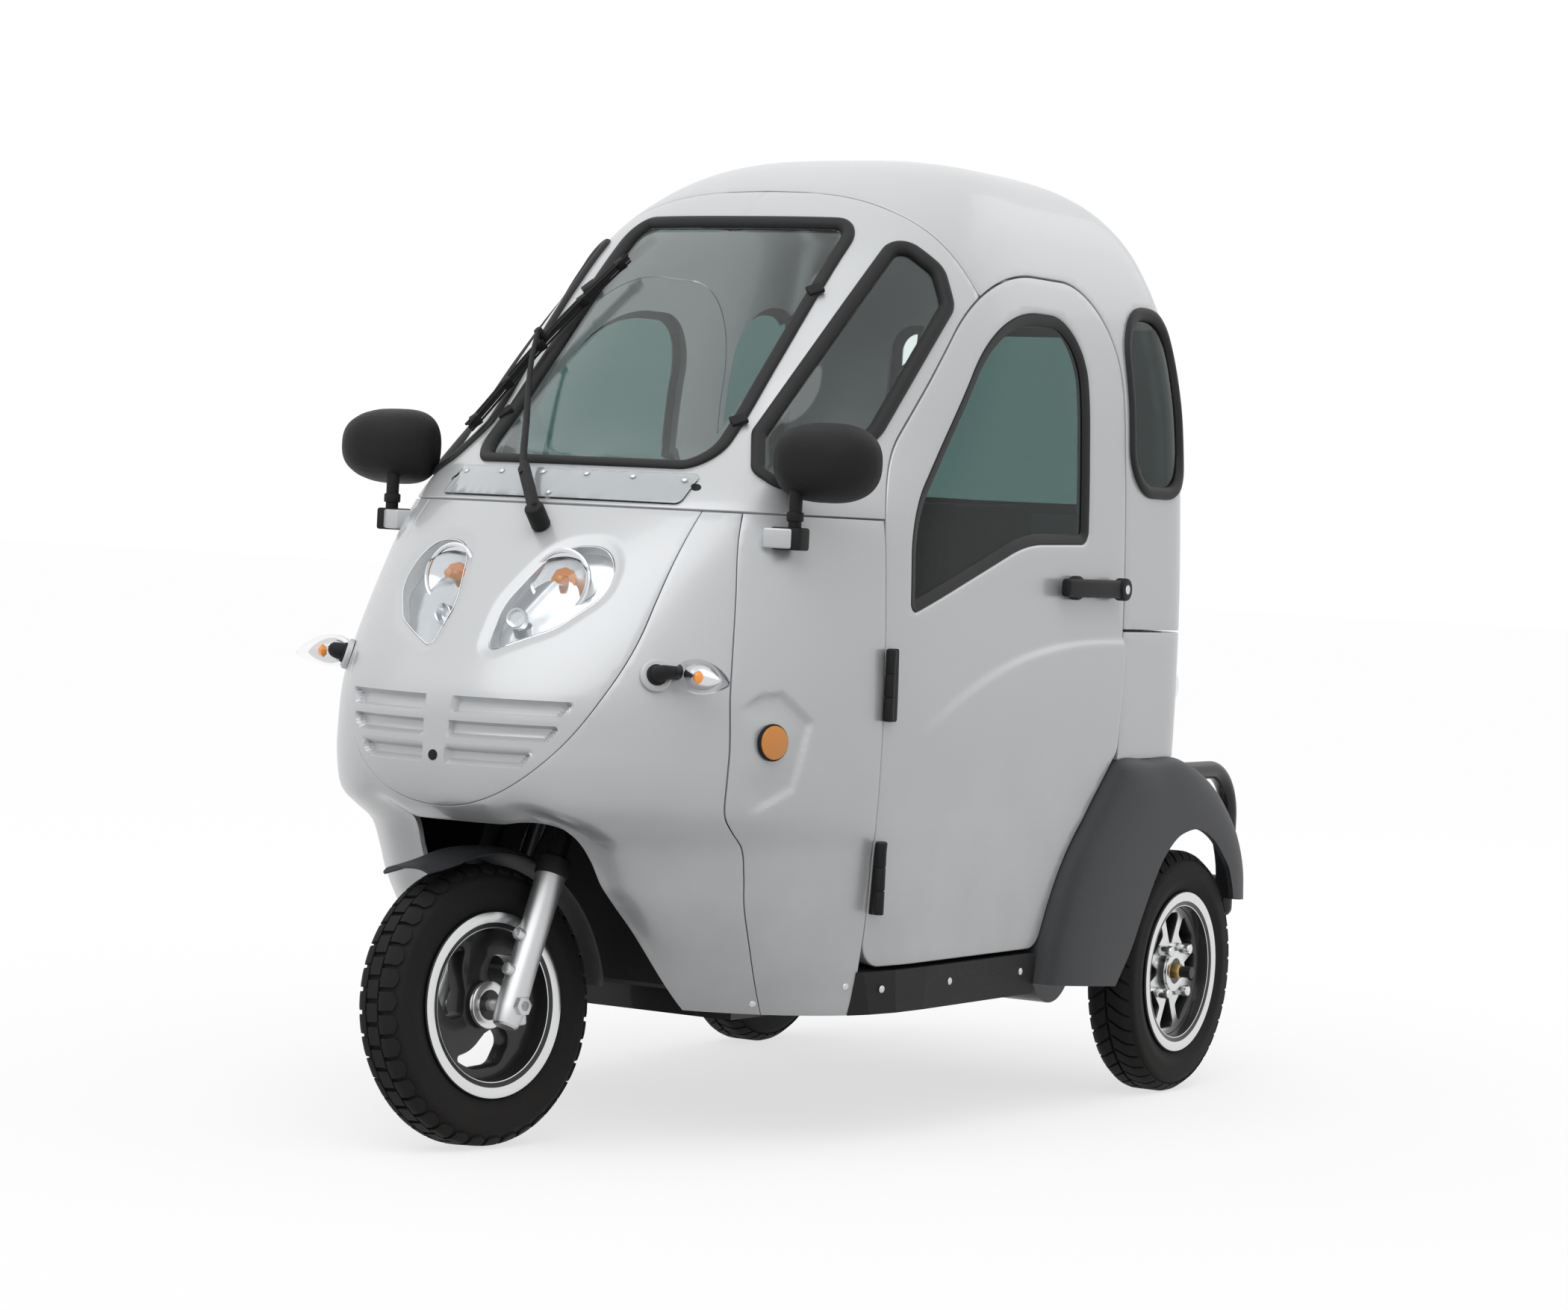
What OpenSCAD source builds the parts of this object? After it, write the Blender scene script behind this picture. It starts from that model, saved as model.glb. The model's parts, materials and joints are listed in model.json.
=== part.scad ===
// Enclosed electric tricycle: one steered front wheel, two driven rear wheels and a closed cabin with two doors.
// The front points to -Y and the vehicle's left side to +X. The ground is z = 0.

/* [Wheels] */
// Distance between the front axle and the rear axle
wheelbase = 1480; // [1440:10:1520]
// Distance between the middles of the rear tyres
rear_track = 824; // [810:2:840]
// Outside diameter of the tyres
tyre_d = 420; // [400:4:430]
// Width of the tyres
tyre_w = 90; // [80:2:96]
// Diameter of the rims where the tyres seat
rim_d = 254; // [240:2:266]
// Number of spoke pairs in a rear rim
rear_pairs = 4; // [3:1:4]
// Number of swirled spokes in the front rim
front_spokes = 3; // [2:1:4]
// Diameter of the stub axles in the wheel hubs
stub_d = 20; // [16:1:24]

/* [Steering] */
// Lean of the steering axis from the vertical, in degrees
rake = 25; // [22:1:27]
// Distance of the front wheel's middle ahead of the steering axis, along the ground
fork_lead = 35; // [30:1:42]
// Turn of the front wheel as it stands, negative to the vehicle's right
rest_turn = -12; // [-20:1:20]
// Distance of each fork leg from the middle of the wheel
leg_x = 76; // [72:1:84]
// Diameter of the lower fork tubes
slider_d = 46; // [40:1:48]
// Half of the handlebar's width
bar_half = 225; // [200:5:250]

/* [Body] */
// Full width of the body
body_w = 872; // [850:2:890]
// Reach of the nose ahead of the rear axle
nose_reach = 1628; // [1600:2:1650]
// Reach of the rear wall behind the rear axle
tail_reach = 102; // [90:2:110]
// Height of the body's lower edge above the ground
body_base = 205; // [190:1:215]
// Thickness of doors and body walls
wall = 28; // [20:1:32]
// Height of the seam under the windscreen, above the body's lower edge
belt_h = 761; // [750:1:780]
// Width of the seams between fixed panels
seam = 0.6; // [0.3:0.1:0.8]

/* [Doors] */
// Distance of the doors' front edge ahead of the rear axle
door_front = 1050; // [1040:2:1060]
// Distance of the doors' rear edge ahead of the rear axle
door_rear = 262; // [255:1:275]
// Height of the doors' lower edge above the body's lower edge
door_foot = 76; // [70:1:90]
// Height of the doors' top above the body's lower edge
door_top = 1168; // [1150:1:1175]
// Gap round the doors
door_gap = 9; // [8:0.5:12]
// Distance of the hinge axis from the middle of the vehicle
hinge_x = 437; // [436:0.5:442]

/* [Glass] */
// Half of the windscreen's width with its seal
screen_half = 222; // [210:1:226]
// Height of the windscreen's lower edge above the body's lower edge
screen_foot = 822; // [815:1:835]
// Height of the windscreen's upper edge above the body's lower edge
screen_top = 1238; // [1225:1:1245]
// Width of the rubber seals
seal_w = 22; // [16:1:26]
// Height of the rubber seals above the body's skin
seal_h = 7; // [4:0.5:9]
// Thickness of the glass
glass_t = 5; // [4:0.5:6]

/* [Chassis] */
// Distance of the frame rails from the middle
rail_x = 230; // [220:2:240]
// Side of the square frame tubes
rail_s = 40; // [36:1:44]
// Height of the floor's top above the ground
floor_z = 236; // [230:1:240]
// Distance between the two tow bracket holes in the rear cross member
tow_gap = 120; // [80:5:160]
// Diameter of the tow bracket holes
tow_hole = 13; // [9:1:17]
// Reach of the rear bumper behind the rear axle
bumper_reach = 330; // [320:2:345]
// Diameter of the rear bumper tube
bumper_d = 32; // [26:1:36]

/* [Hidden] */
$fn = 48;

silver = [0.74, 0.75, 0.77];
black = [0.06, 0.06, 0.065];
dark_glass = [0.25, 0.33, 0.31, 0.5];

tyre_r = tyre_d / 2;
// Running clearance of a hub on its stub axle
hub_clear = 0.05;
// Tread of the tyres: rounding of its shoulders, and half of its flat middle
shoulder_r = 16;
tread_half = tyre_w / 2 - 25.5;
// Lean of the turned front wheel, and the rise of its axle that keeps the tyre on the ground
front_lean = asin(sin(rake) * sin(abs(rest_turn)));
front_rise = (tyre_r - shoulder_r) * (cos(front_lean) - 1) + tread_half * sin(front_lean)
    + fork_lead * sin(rake) * cos(rake) * (1 - cos(rest_turn));
// Reach of the turned front tyre ahead of the rear axle
front_reach = wheelbase + (tyre_r - shoulder_r) * cos(rest_turn) + shoulder_r
    + tread_half * abs(sin(rest_turn)) - fork_lead * (1 - cos(rest_turn));
// Place of the rear axle, so that the whole vehicle is centred on the origin
rear_axle_y = (front_reach - bumper_reach) / 2;

belt_z = body_base + belt_h;
half_w = body_w / 2;
// Depth and squareness of the body's rounded rear corners
rear_corner = 190;
rear_square = 2.6;
// Height of the seam between the roof shell and the rear body
waist_z = body_base + 596;
// Reach of the rear mudguards' foot ahead of the rear axle
guard_foot = 512;
// Height of the rear mudguards' top
guard_top = body_base + 382;

// Columns of the body's sections
S_Z = 0;
S_NOSE = 1;
S_SIDE = 2;
S_CURVE = 3;
S_SQUARE = 4;
S_TAIL = 5;
// Height above the lower edge, setback of the nose, inset of the sides,
// length of the front curve, squareness of that curve, inset of the tail
sections = [
    [0, 378, 11, 748, 2.40, 22],
    [95, 263, 8, 748, 2.30, 17],
    [171, 182, 5, 748, 2.25, 13],
    [219, 153, 4, 748, 2.25, 11],
    [261, 121, 3, 748, 2.25, 9],
    [285, 70, 2, 748, 2.25, 8],
    [309, 23, 2, 748, 2.25, 7],
    [340, 6, 1, 748, 2.25, 6],
    [395, 0, 0, 748, 2.25, 2],
    [495, 18, 0, 748, 2.25, 0],
    [645, 128, 2, 768, 2.35, 0],
    [760, 249, 6, 788, 2.50, 2],
    [875, 403, 12, 908, 2.70, 5],
    [995, 528, 22, 1008, 2.80, 12],
    [1115, 648, 46, 1068, 2.80, 30],
    [1215, 753, 81, 1128, 2.80, 64],
    [1285, 848, 121, 1178, 2.70, 107],
    [1335, 948, 174, 1208, 2.60, 167],
    [1363, 1048, 246, 1210, 2.50, 232],
    [1375, 1148, 336, 1195, 2.40, 302]];
section_top = 1375;

// Curve between two section rows, with the slopes of the neighbouring rows
function row_slope(c, i) =
    let (a = sections[max(i - 1, 0)], b = sections[min(i + 1, len(sections) - 1)])
    (b[c] - a[c]) / (b[S_Z] - a[S_Z]);
function row_below(h, i = 0) =
    i >= len(sections) - 2 || sections[i + 1][S_Z] > h ? i : row_below(h, i + 1);
function at_height(c, h) =
    let (i = row_below(h), a = sections[i], b = sections[i + 1], d = b[S_Z] - a[S_Z], t = (h - a[S_Z]) / d)
    a[c] * (1 + 2 * t) * (1 - t) * (1 - t) + row_slope(c, i) * d * t * (1 - t) * (1 - t)
    + b[c] * t * t * (3 - 2 * t) + row_slope(c, i + 1) * d * t * t * (t - 1);

function unit(v) = v / norm(v);

// Point of the body's skin: u runs from the nose (0) over the front curve (1)
// and the side (2) to the middle of the tail (3), negative on the vehicle's right
function body_point(u, z) =
    let (h = min(max(z - body_base, 0), section_top),
         a = abs(u),
         b = a > 3 ? 6 - a : a,
         side = (u < 0 ? -1 : 1) * (a > 3 ? -1 : 1),
         nose = -nose_reach + at_height(S_NOSE, h),
         half = half_w - at_height(S_SIDE, h),
         arc = -nose_reach + at_height(S_CURVE, h),
         square = at_height(S_SQUARE, h),
         corner = tail_reach - at_height(S_TAIL, h) - rear_corner)
    b <= 1 ? [side * half * pow(sin(90 * b), 2 / square),
              arc - (arc - nose) * pow(cos(90 * b), 2 / square), h + body_base]
    : b <= 2 ? [side * half, arc + (corner - arc) * (b - 1), h + body_base]
    : [side * half * pow(cos(90 * (b - 2)), 2 / rear_square),
       corner + rear_corner * pow(sin(90 * (b - 2)), 2 / rear_square), h + body_base];
function body_normal(u, z) =
    let (du = body_point(u + 0.01, z) - body_point(u - 0.01, z),
         dz = body_point(u, z + 1) - body_point(u, z - 1))
    unit(cross(du, dz));

// Place round the skin of a point on the side, from its distance along the vehicle
function u_at(y, z) =
    let (h = z - body_base,
         arc = -nose_reach + at_height(S_CURVE, h),
         nose = -nose_reach + at_height(S_NOSE, h),
         corner = tail_reach - at_height(S_TAIL, h) - rear_corner)
    y < arc ? acos(pow((arc - y) / (arc - nose), at_height(S_SQUARE, h) / 2)) / 90
            : 1 + (y - arc) / (corner - arc);
// Half width of the skin at a place along the front curve
function body_x(y, z) =
    let (h = z - body_base,
         arc = -nose_reach + at_height(S_CURVE, h),
         nose = -nose_reach + at_height(S_NOSE, h),
         square = at_height(S_SQUARE, h), half = half_w - at_height(S_SIDE, h))
    y >= arc ? half : half * pow(1 - pow((arc - y) / (arc - nose), square), 1 / square);
// Plan of the cabin at one height, a depth inside the skin
module inner_plan(z, depth) {
    polygon([for (u = ring_us) let (p = body_point(u, z) - depth * body_normal(u, z)) [p.x, p.y]]);
}

// Faces of a sheet of points with its back, closed round its edge
function shell_faces(nu, nz) =
    let (all = nu * nz)
    [for (j = [0 : nz - 2]) for (i = [0 : nu - 2])
        let (a = j * nu + i, b = a + 1, c = b + nu, d = a + nu)
        each [[a, d, c], [a, c, b], [all + a, all + b, all + c], [all + a, all + c, all + d]],
     for (i = [0 : nu - 2])
        let (a = i, b = i + 1, d = (nz - 1) * nu + i, c = d + 1)
        each [[a, b, all + b], [a, all + b, all + a], [c, d, all + d], [c, all + d, all + c]],
     for (j = [0 : nz - 2])
        let (a = j * nu, d = a + nu, b = a + nu - 1, c = b + nu)
        each [[d, a, all + a], [d, all + a, all + d], [b, c, all + c], [b, all + c, all + b]]];

// Piece of the body's wall between two depths below its skin
module body_patch(us, zs, skin, depth) {
    polyhedron(
        [for (d = [skin, depth]) for (z = zs) for (u = us) body_point(u, z) - d * body_normal(u, z)],
        shell_faces(len(us), len(zs)));
}

// Curved sheet through rows of points, thickened towards its back
function row_normal(rows, j, i) =
    let (n = len(rows) - 1, m = len(rows[0]) - 1)
    unit(cross(
        rows[j][min(i + 1, m)] - rows[j][max(i - 1, 0)],
        rows[min(j + 1, n)][i] - rows[max(j - 1, 0)][i]));
module sheet(rows, thick) {
    nz = len(rows);
    nu = len(rows[0]);
    polyhedron(
        [for (d = [0, thick]) for (j = [0 : nz - 1]) for (i = [0 : nu - 1])
            rows[j][i] - d * row_normal(rows, j, i)],
        shell_faces(nu, nz));
}

// Closed ring of the body's wall with its roof
module body_dome(us, zs, depth) {
    nu = len(us);
    nz = len(zs);
    all = nu * nz;
    top = (nz - 1) * nu;
    roof = zs[nz - 1];
    crown = body_point(0, roof);
    brow = body_point(3, roof);
    points = [
        for (d = [0, depth]) for (z = zs) for (u = us) body_point(u, z) - d * body_normal(u, z),
        [0, (crown.y + brow.y) / 2, roof], [0, (crown.y + brow.y) / 2, roof - depth]];
    faces = [
        for (j = [0 : nz - 2]) for (i = [0 : nu - 1])
            let (k = (i + 1) % nu, a = j * nu + i, b = j * nu + k, c = b + nu, d = a + nu)
            each [[a, d, c], [a, c, b], [all + a, all + b, all + c], [all + a, all + c, all + d]],
        for (i = [0 : nu - 1])
            let (k = (i + 1) % nu)
            each [[i, k, all + k], [i, all + k, all + i],
                [top + i, 2 * all, top + k], [all + top + i, all + top + k, 2 * all + 1]]];
    polyhedron(points, faces);
}

// Outline with rounded corners, each point with its own radius
function corner_arc(a, b, c, r, n) =
    let (p = unit(a - b), q = unit(c - b), w = acos(p * q), o = b + unit(p + q) * r / sin(w / 2),
         s = b + p * r / tan(w / 2) - o, e = b + q * r / tan(w / 2) - o,
         s0 = atan2(s.y, s.x), turn = (atan2(e.y, e.x) - s0 + 540) % 360 - 180)
    [for (i = [0 : n]) o + r * [cos(s0 + turn * i / n), sin(s0 + turn * i / n)]];
function rounded(pts, n = 6) =
    let (m = len(pts))
    [for (i = [0 : m - 1])
        let (a = pts[(i + m - 1) % m], b = pts[i], c = pts[(i + 1) % m])
        each b[2] > 0 ? corner_arc([a.x, a.y], [b.x, b.y], [c.x, c.y], b[2], n) : [[b.x, b.y]]];

module both_sides() {
    children();
    mirror([1, 0, 0]) children();
}
module from_axle() translate([0, rear_axle_y, 0]) children();
// Outline in Y and Z, extruded from x0 to x1
module side_prism(x0, x1) translate([x0, 0, 0]) rotate([90, 0, 90]) linear_extrude(x1 - x0) children();
// Outline in X and Z, extruded from y0 to y1
module front_prism(y0, y1) translate([0, y1, 0]) rotate([90, 0, 0]) linear_extrude(y1 - y0) children();
// Frame at a point with its Z axis along a direction
module along(p, v) translate(p) rotate([0, acos(v.z / norm(v)), atan2(v.y, v.x)]) children();
// Tube between two points
module strut(a, b, d) along(a, b - a) cylinder(d = d, h = norm(b - a));
// Square bar between two points, standing on its edge
module bar(a, b, s) along(a, b - a) rotate(45) translate([-s / 2, -s / 2, 0]) cube([s, s, norm(b - a)]);

// Outlines of the doors and windows

module door_outline(grow = 0) {
    offset(delta = grow)
    polygon(rounded([
        [-door_front, body_base + door_foot, 40],
        [-door_front, body_base + door_top - 348, 240],
        [-door_front + 360, body_base + door_top, 400],
        [-door_rear, body_base + door_top, 170],
        [-door_rear, body_base + 395, 30],
        [-door_rear - 194, body_base + 200, 400],
        [-door_rear - 246, body_base + door_foot, 40]]));
}
module door_window() {
    polygon(rounded([
        [-door_front + 65, body_base + 617, 14],
        [-door_front + 65, body_base + door_top - 398, 170],
        [-door_front + 372, body_base + door_top - 57, 330],
        [-door_rear - 122, body_base + door_top - 57, 105],
        [-door_rear - 132, body_base + 740, 24],
        [-door_rear - 350, body_base + 735, 400]]));
}
module screen_outline() {
    polygon(rounded([
        [-screen_half, body_base + screen_foot, 45],
        [screen_half, body_base + screen_foot, 45],
        [screen_half - 7, body_base + screen_top, 45],
        [-screen_half + 7, body_base + screen_top, 45]]));
}
// Frame of the quarter windows: middle of the pane, and the turns that face it
quarter_mid = [310, -nose_reach + 628, body_base + 1000];
quarter_turn = [0, 54, -40.5];
module quarter_outline() {
    polygon(rounded([
        [-272, 118, 40], [-205, 190, 45], [-135, 198, 40], [130, 28, 120], [262, -148, 40], [214, -194, 30],
        [128, -176, 40]]));
}
module quarter_prism() {
    translate(quarter_mid) rotate(quarter_turn) translate([0, 0, -110]) linear_extrude(260) children();
}
module oval_outline() {
    polygon(rounded([
        [-door_rear + 17, body_base + 824, 85],
        [-door_rear + 21, body_base + 1148, 100],
        [-door_rear + 232, body_base + 1148, 100],
        [-door_rear + 250, body_base + 824, 85]]));
}
module back_outline() {
    polygon(rounded([
        [-250, body_base + 790, 60],
        [250, body_base + 790, 60],
        [215, body_base + 1130, 60],
        [-215, body_base + 1130, 60]]));
}
module cowl_outline(grow = 0) {
    half = 250 + grow;
    middle = body_base + 595;
    drop = 286 + grow;
    polygon([
        [half, belt_z + 5],
        for (a = [0 : 10 : 180]) [half * cos(a), middle - drop * sin(a)],
        [-half, belt_z + 5]]);
}
module arch_outline() {
    polygon(rounded([
        [-205, body_base - 20, 0],
        [-150, body_base + 282, 70],
        [150, body_base + 282, 70],
        [205, body_base - 20, 0]]));
}
// Side panels reach forward to this line, seen from the front
module corner_outline(grow = 0) {
    polygon([
        [296 - grow, belt_z + 5], [330 - grow, body_base + 595], [352 - grow, body_base + 475],
        [350 - grow, body_base + 355], [343 - grow, body_base + 266], [305 - grow, body_base - 5],
        [600, body_base - 5], [600, belt_z + 5]]);
}
// Everything ahead of the roof's front seam, seen from the side
module ahead_of_roof(shift = 0) {
    polygon([
        [-nose_reach - 50, body_base], [-door_front + 345 + shift, body_base],
        [-door_front + 345 + shift, body_base + 1080], [-door_front + 285 + shift, body_base + 1260],
        [-door_front + 280 + shift, body_base + 1400], [-nose_reach - 50, body_base + 1400]]);
}

// Columns and rows of the wall pieces

side_us = [0.4, 0.5, 0.6, 0.7, 0.8, 0.9, 1, 1.5, 2];
half_us = [0, 0.12, 0.25, 0.38, 0.5, 0.62, 0.75, 0.88, 1, 1.5, 2, 2.2, 2.4, 2.6, 2.8];
ring_us = [each half_us, 3, for (i = [len(half_us) - 1 : -1 : 1]) 6 - half_us[i]];
function across(us) = [for (i = [len(us) - 1 : -1 : 0]) -us[i], 0, each us];
function above(hs) = [for (h = hs) h + body_base];
panel_zs = above([
    0, 50, 95, 135, 171, 219, 261, 285, 309, 340, 395, 450, 495, 540, 590, 645, 700,
    belt_h - 26, belt_h + 14]);
cowl_us = across([0.05, 0.1, 0.15, 0.2, 0.26, 0.32, 0.38, 0.44, 0.5, 0.6]);
screen_us = across([0.12, 0.25, 0.38, 0.5, 0.62, 0.75, 0.88, 1]);
screen_zs = above([
    belt_h - 16, belt_h + 14, belt_h + 39,
    840, 875, 935, 995, 1055, 1115, 1165, 1215, 1250, 1285, 1310]);
roof_zs = [waist_z + seam / 2, each above([645, 700, 760, 820, 875, 935, 995, 1055, 1115, 1165, 1215,
    1250, 1285, 1312, 1335, 1352, 1363, 1370, section_top])];
// Everything below or above the seam under the windscreen
module under_belt() translate([-600, -nose_reach - 100, 0]) cube([1200, nose_reach, belt_z - seam / 2]);
module over_belt() translate([-600, -nose_reach - 100, belt_z + seam / 2]) cube([1200, nose_reach, 1000]);

// Body panels

module front_cowl() {
    color(silver) from_axle()
    difference() {
        intersection() {
            body_patch(cowl_us, [for (z = panel_zs) if (z > body_base + 280) z], 0, wall);
            front_prism(-nose_reach - 50, -900) cowl_outline(-seam / 2);
            under_belt();
        }
        both_sides() front_prism(-nose_reach - 50, -900) headlight_outline();
        intersection() {
            body_patch(cowl_us, above([340, 395, 450, 500]), -6, slot_depth);
            both_sides() front_prism(-nose_reach - 50, -900) grille_slots();
        }
    }
}
// Grille of three slots on each side, sunk into the cowl
slot_depth = 9;
slot_high = 17;
// Height of a slot's middle above the body's lower edge, its outer end and its inner end
slot_rows = [[460, 189, 27], [425, 176, 24], [386, 144, 22]];
module grille_slots() {
    for (s = slot_rows) polygon(rounded([
        [s[2], body_base + s[0] - slot_high / 2, 3], [s[1] - 8, body_base + s[0] - slot_high / 2, 3],
        [s[1] + 6, body_base + s[0] + slot_high / 2, 3], [s[2], body_base + s[0] + slot_high / 2, 3]], 2));
}
module front_apron() {
    color(silver) from_axle()
    difference() {
        intersection() {
            body_patch(across([0.1, 0.2, 0.3, 0.4, 0.5, 0.6, 0.7, 0.8]), panel_zs, 0, wall);
            under_belt();
        }
        front_prism(-nose_reach - 50, -900) cowl_outline(seam / 2);
        front_prism(-nose_reach - 50, -900) arch_outline();
        both_sides() front_prism(-nose_reach - 50, -900) corner_outline(seam / 2);
    }
}
// Groove pressed into the front panels: distance behind the nose and height above the lower edge
groove_line = [[263, 470], [351, 500], [414, 454], [382, 348], [296, 306]];
groove_s = 12;
groove_off = 3;
function groove_point(q) =
    let (y = q[0] - nose_reach, z = q[1] + body_base, u = u_at(y, z))
    body_point(u, z) + groove_off * body_normal(u, z);
module front_panel() {
    difference() {
        intersection() {
            body_patch(side_us, panel_zs, 0, wall);
            front_prism(-nose_reach - 50, -door_front - door_gap) corner_outline(-seam / 2);
            under_belt();
        }
        for (i = [0 : len(groove_line) - 2])
            bar(groove_point(groove_line[i]), groove_point(groove_line[i + 1]), groove_s);
    }
}
module front_panel_left() color(silver) from_axle() front_panel();
module front_panel_right() color(silver) from_axle() mirror([1, 0, 0]) front_panel();
module windscreen_frame() {
    color(silver) from_axle()
    difference() {
        intersection() {
            body_patch(screen_us, screen_zs, 0, wall);
            side_prism(-600, 600) ahead_of_roof(-seam / 2);
            over_belt();
        }
        side_prism(-600, 600) door_outline(door_gap);
        front_prism(-nose_reach - 50, -600) screen_outline();
        both_sides() quarter_prism() quarter_outline();
    }
}
module roof_shell() {
    color(silver) from_axle()
    difference() {
        body_dome(ring_us, roof_zs, wall);
        side_prism(-600, 600) union() {
            ahead_of_roof(seam / 2);
            door_outline(door_gap);
        }
        both_sides() side_prism(190, 600) oval_outline();
        front_prism(-100, 300) back_outline();
    }
}
module rear_body() {
    color(silver) from_axle()
    difference() {
        body_patch([1.6, 2, 2.2, 2.4, 2.6, 2.8, 3, 3.2, 3.4, 3.6, 3.8, 4, 4.4],
            [each above([165, 230, 330, 430, 530]), waist_z - seam / 2], 0, wall);
        side_prism(-600, 600) union() {
            translate([-900, body_base]) square([900 - door_rear + door_gap, 800]);
            translate([-900, body_base]) square([900 - 88, guard_top - body_base]);
        }
        both_sides() translate([350, -600, body_base]) cube([300, 1000, guard_top - body_base]);
    }
}
module sills() {
    color(black) from_axle() both_sides()
    intersection() {
        body_patch([0.6, 0.7, 0.8, 0.9, 1, 1.5, 2], above([0, 35, door_foot - door_gap]), -3, wall + 12);
        translate([0, -door_front - door_gap + seam, 0])
            cube([600, door_front + door_gap - guard_foot - 1, 600]);
    }
}

// Glass and seals

function every_other(v) = [for (i = [0 : len(v) - 1]) if (i % 2 == 0 || i == len(v) - 1) v[i]];
module pane(us, zs) body_patch(every_other(us), every_other(zs), 4, 4 + glass_t);
module ring_seal(us, zs) body_patch(us, zs, -seal_h, wall - 8);
front_us = [for (u = screen_us) if (abs(u) < 0.7) u];
left_screen_us = [for (u = screen_us) if (u > 0.2) u];
oval_us = [1.5, 2, 2.2, 2.4, 2.6];
oval_zs = [for (z = roof_zs) if (z > body_base + 740 && z < body_base + 1180) z];
back_us = [2.2, 2.4, 2.6, 2.8, 3, 3.2, 3.4, 3.6, 3.8];

module windscreen() {
    color(dark_glass) from_axle()
    intersection() {
        pane(front_us, screen_zs);
        front_prism(-nose_reach - 50, -600) offset(delta = -seal_w - 0.2) screen_outline();
    }
}
module windscreen_seal() {
    color(black) from_axle()
    intersection() {
        ring_seal(front_us, screen_zs);
        front_prism(-nose_reach - 50, -600) difference() {
            offset(delta = -0.2) screen_outline();
            offset(delta = -seal_w) screen_outline();
        }
    }
}
module quarter_glass() {
    color(dark_glass) from_axle() both_sides()
    intersection() {
        pane(left_screen_us, screen_zs);
        quarter_prism() offset(delta = -seal_w - 0.2) quarter_outline();
    }
}
module quarter_seals() {
    color(black) from_axle() both_sides()
    intersection() {
        ring_seal(left_screen_us, screen_zs);
        quarter_prism() difference() {
            offset(delta = -0.2) quarter_outline();
            offset(delta = -seal_w) quarter_outline();
        }
    }
}
module rear_glass() {
    color(dark_glass) from_axle() {
        both_sides()
        intersection() {
            pane(oval_us, oval_zs);
            side_prism(190, 600) offset(delta = -seal_w - 0.2) oval_outline();
        }
        intersection() {
            pane(back_us, oval_zs);
            front_prism(-100, 300) offset(delta = -seal_w - 0.2) back_outline();
        }
    }
}
module rear_seals() {
    color(black) from_axle() {
        both_sides()
        intersection() {
            ring_seal(oval_us, oval_zs);
            side_prism(190, 600) difference() {
                offset(delta = -0.2) oval_outline();
                offset(delta = -seal_w) oval_outline();
            }
        }
        intersection() {
            ring_seal(back_us, oval_zs);
            front_prism(-100, 300) difference() {
                offset(delta = -0.2) back_outline();
                offset(delta = -seal_w) back_outline();
            }
        }
    }
}

// Doors

door_zs = above([60, 135, 219, 309, 395, 495, 570, 645, 700, 761, 818, 875, 935, 995, 1055, 1115, 1165, 1190]);
// Crease that sweeps up the doors, proud below its line and fading down the door
crease_foot = 381;
crease_rise = 198;
crease_bend = 2.6;
// Distance below the line, and share of the full height there
crease_profile = [[-5, -0.1], [7, 1], [40, 0.8], [110, 0.35], [190, -0.1]];
crease_h = 7;
function crease_line(t) = [
    -door_front + 24 + t * (door_front - door_rear - 30),
    body_base + crease_foot + crease_rise * (1 - pow(1 - t, crease_bend))];
module door_crease() {
    sheet([for (t = [0 : 0.1 : 1])
        [for (k = [0 : len(crease_profile) - 1])
            let (q = crease_profile[k], p = crease_line(t), z = p.y - q[0], u = u_at(p.x, z),
                 h = crease_h * (q[1] > 0 ? q[1] * min(1, 0.05 + 2.8 * t) : q[1]))
            body_point(u, z) + h * body_normal(u, z)]], 9);
}
module door_panel() {
    difference() {
        union() {
            intersection() {
                body_patch(side_us, door_zs, 0, wall);
                side_prism(150, 600) door_outline();
            }
            door_crease();
        }
        side_prism(150, 600) door_window();
    }
}
module door_pane() {
    intersection() {
        pane(side_us, [for (z = door_zs) if (z > body_base + 560) z]);
        side_prism(150, 600) offset(delta = -0.2) door_window();
    }
}
// Hinges, handle and lock
hinge_d = 16;
hinge_l = 110;
hinge_hs = [158, 454];
handle_h = 667;
leaf_l = 22;
module door_fittings() {
    for (h = hinge_hs) {
        translate([hinge_x, -door_front - door_gap / 2, body_base + h]) cylinder(d = hinge_d, h = hinge_l);
        intersection() {
            body_patch(
                [0.7, 0.8, 0.9, 1, 1.2],
                [for (k = [-0.2, 0.5, 1.2]) body_base + h + k * hinge_l], -6, -0.3);
            side_prism(300, 600) translate([-door_front + 1, body_base + h]) square([leaf_l, hinge_l]);
        }
    }
    skin = body_point(1.5, body_base + handle_h);
    translate([skin.x + 0.6, -door_rear - 195, body_base + handle_h]) {
        rotate([0, 90, 0]) cylinder(d = 40, h = 16);
        translate([8, -8, -14]) cube([16, 170, 28]);
        translate([0, 145, 0]) rotate([0, 90, 0]) cylinder(d = 30, h = 16);
    }
}
module door_left() color(silver) from_axle() door_panel();
module door_left_glass() color(dark_glass) from_axle() door_pane();
module door_left_fittings() color(black) from_axle() door_fittings();
module door_right() color(silver) from_axle() mirror([1, 0, 0]) door_panel();
module door_right_glass() color(dark_glass) from_axle() mirror([1, 0, 0]) door_pane();
module door_right_fittings() color(black) from_axle() mirror([1, 0, 0]) door_fittings();

// Lamps and small fittings

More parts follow.
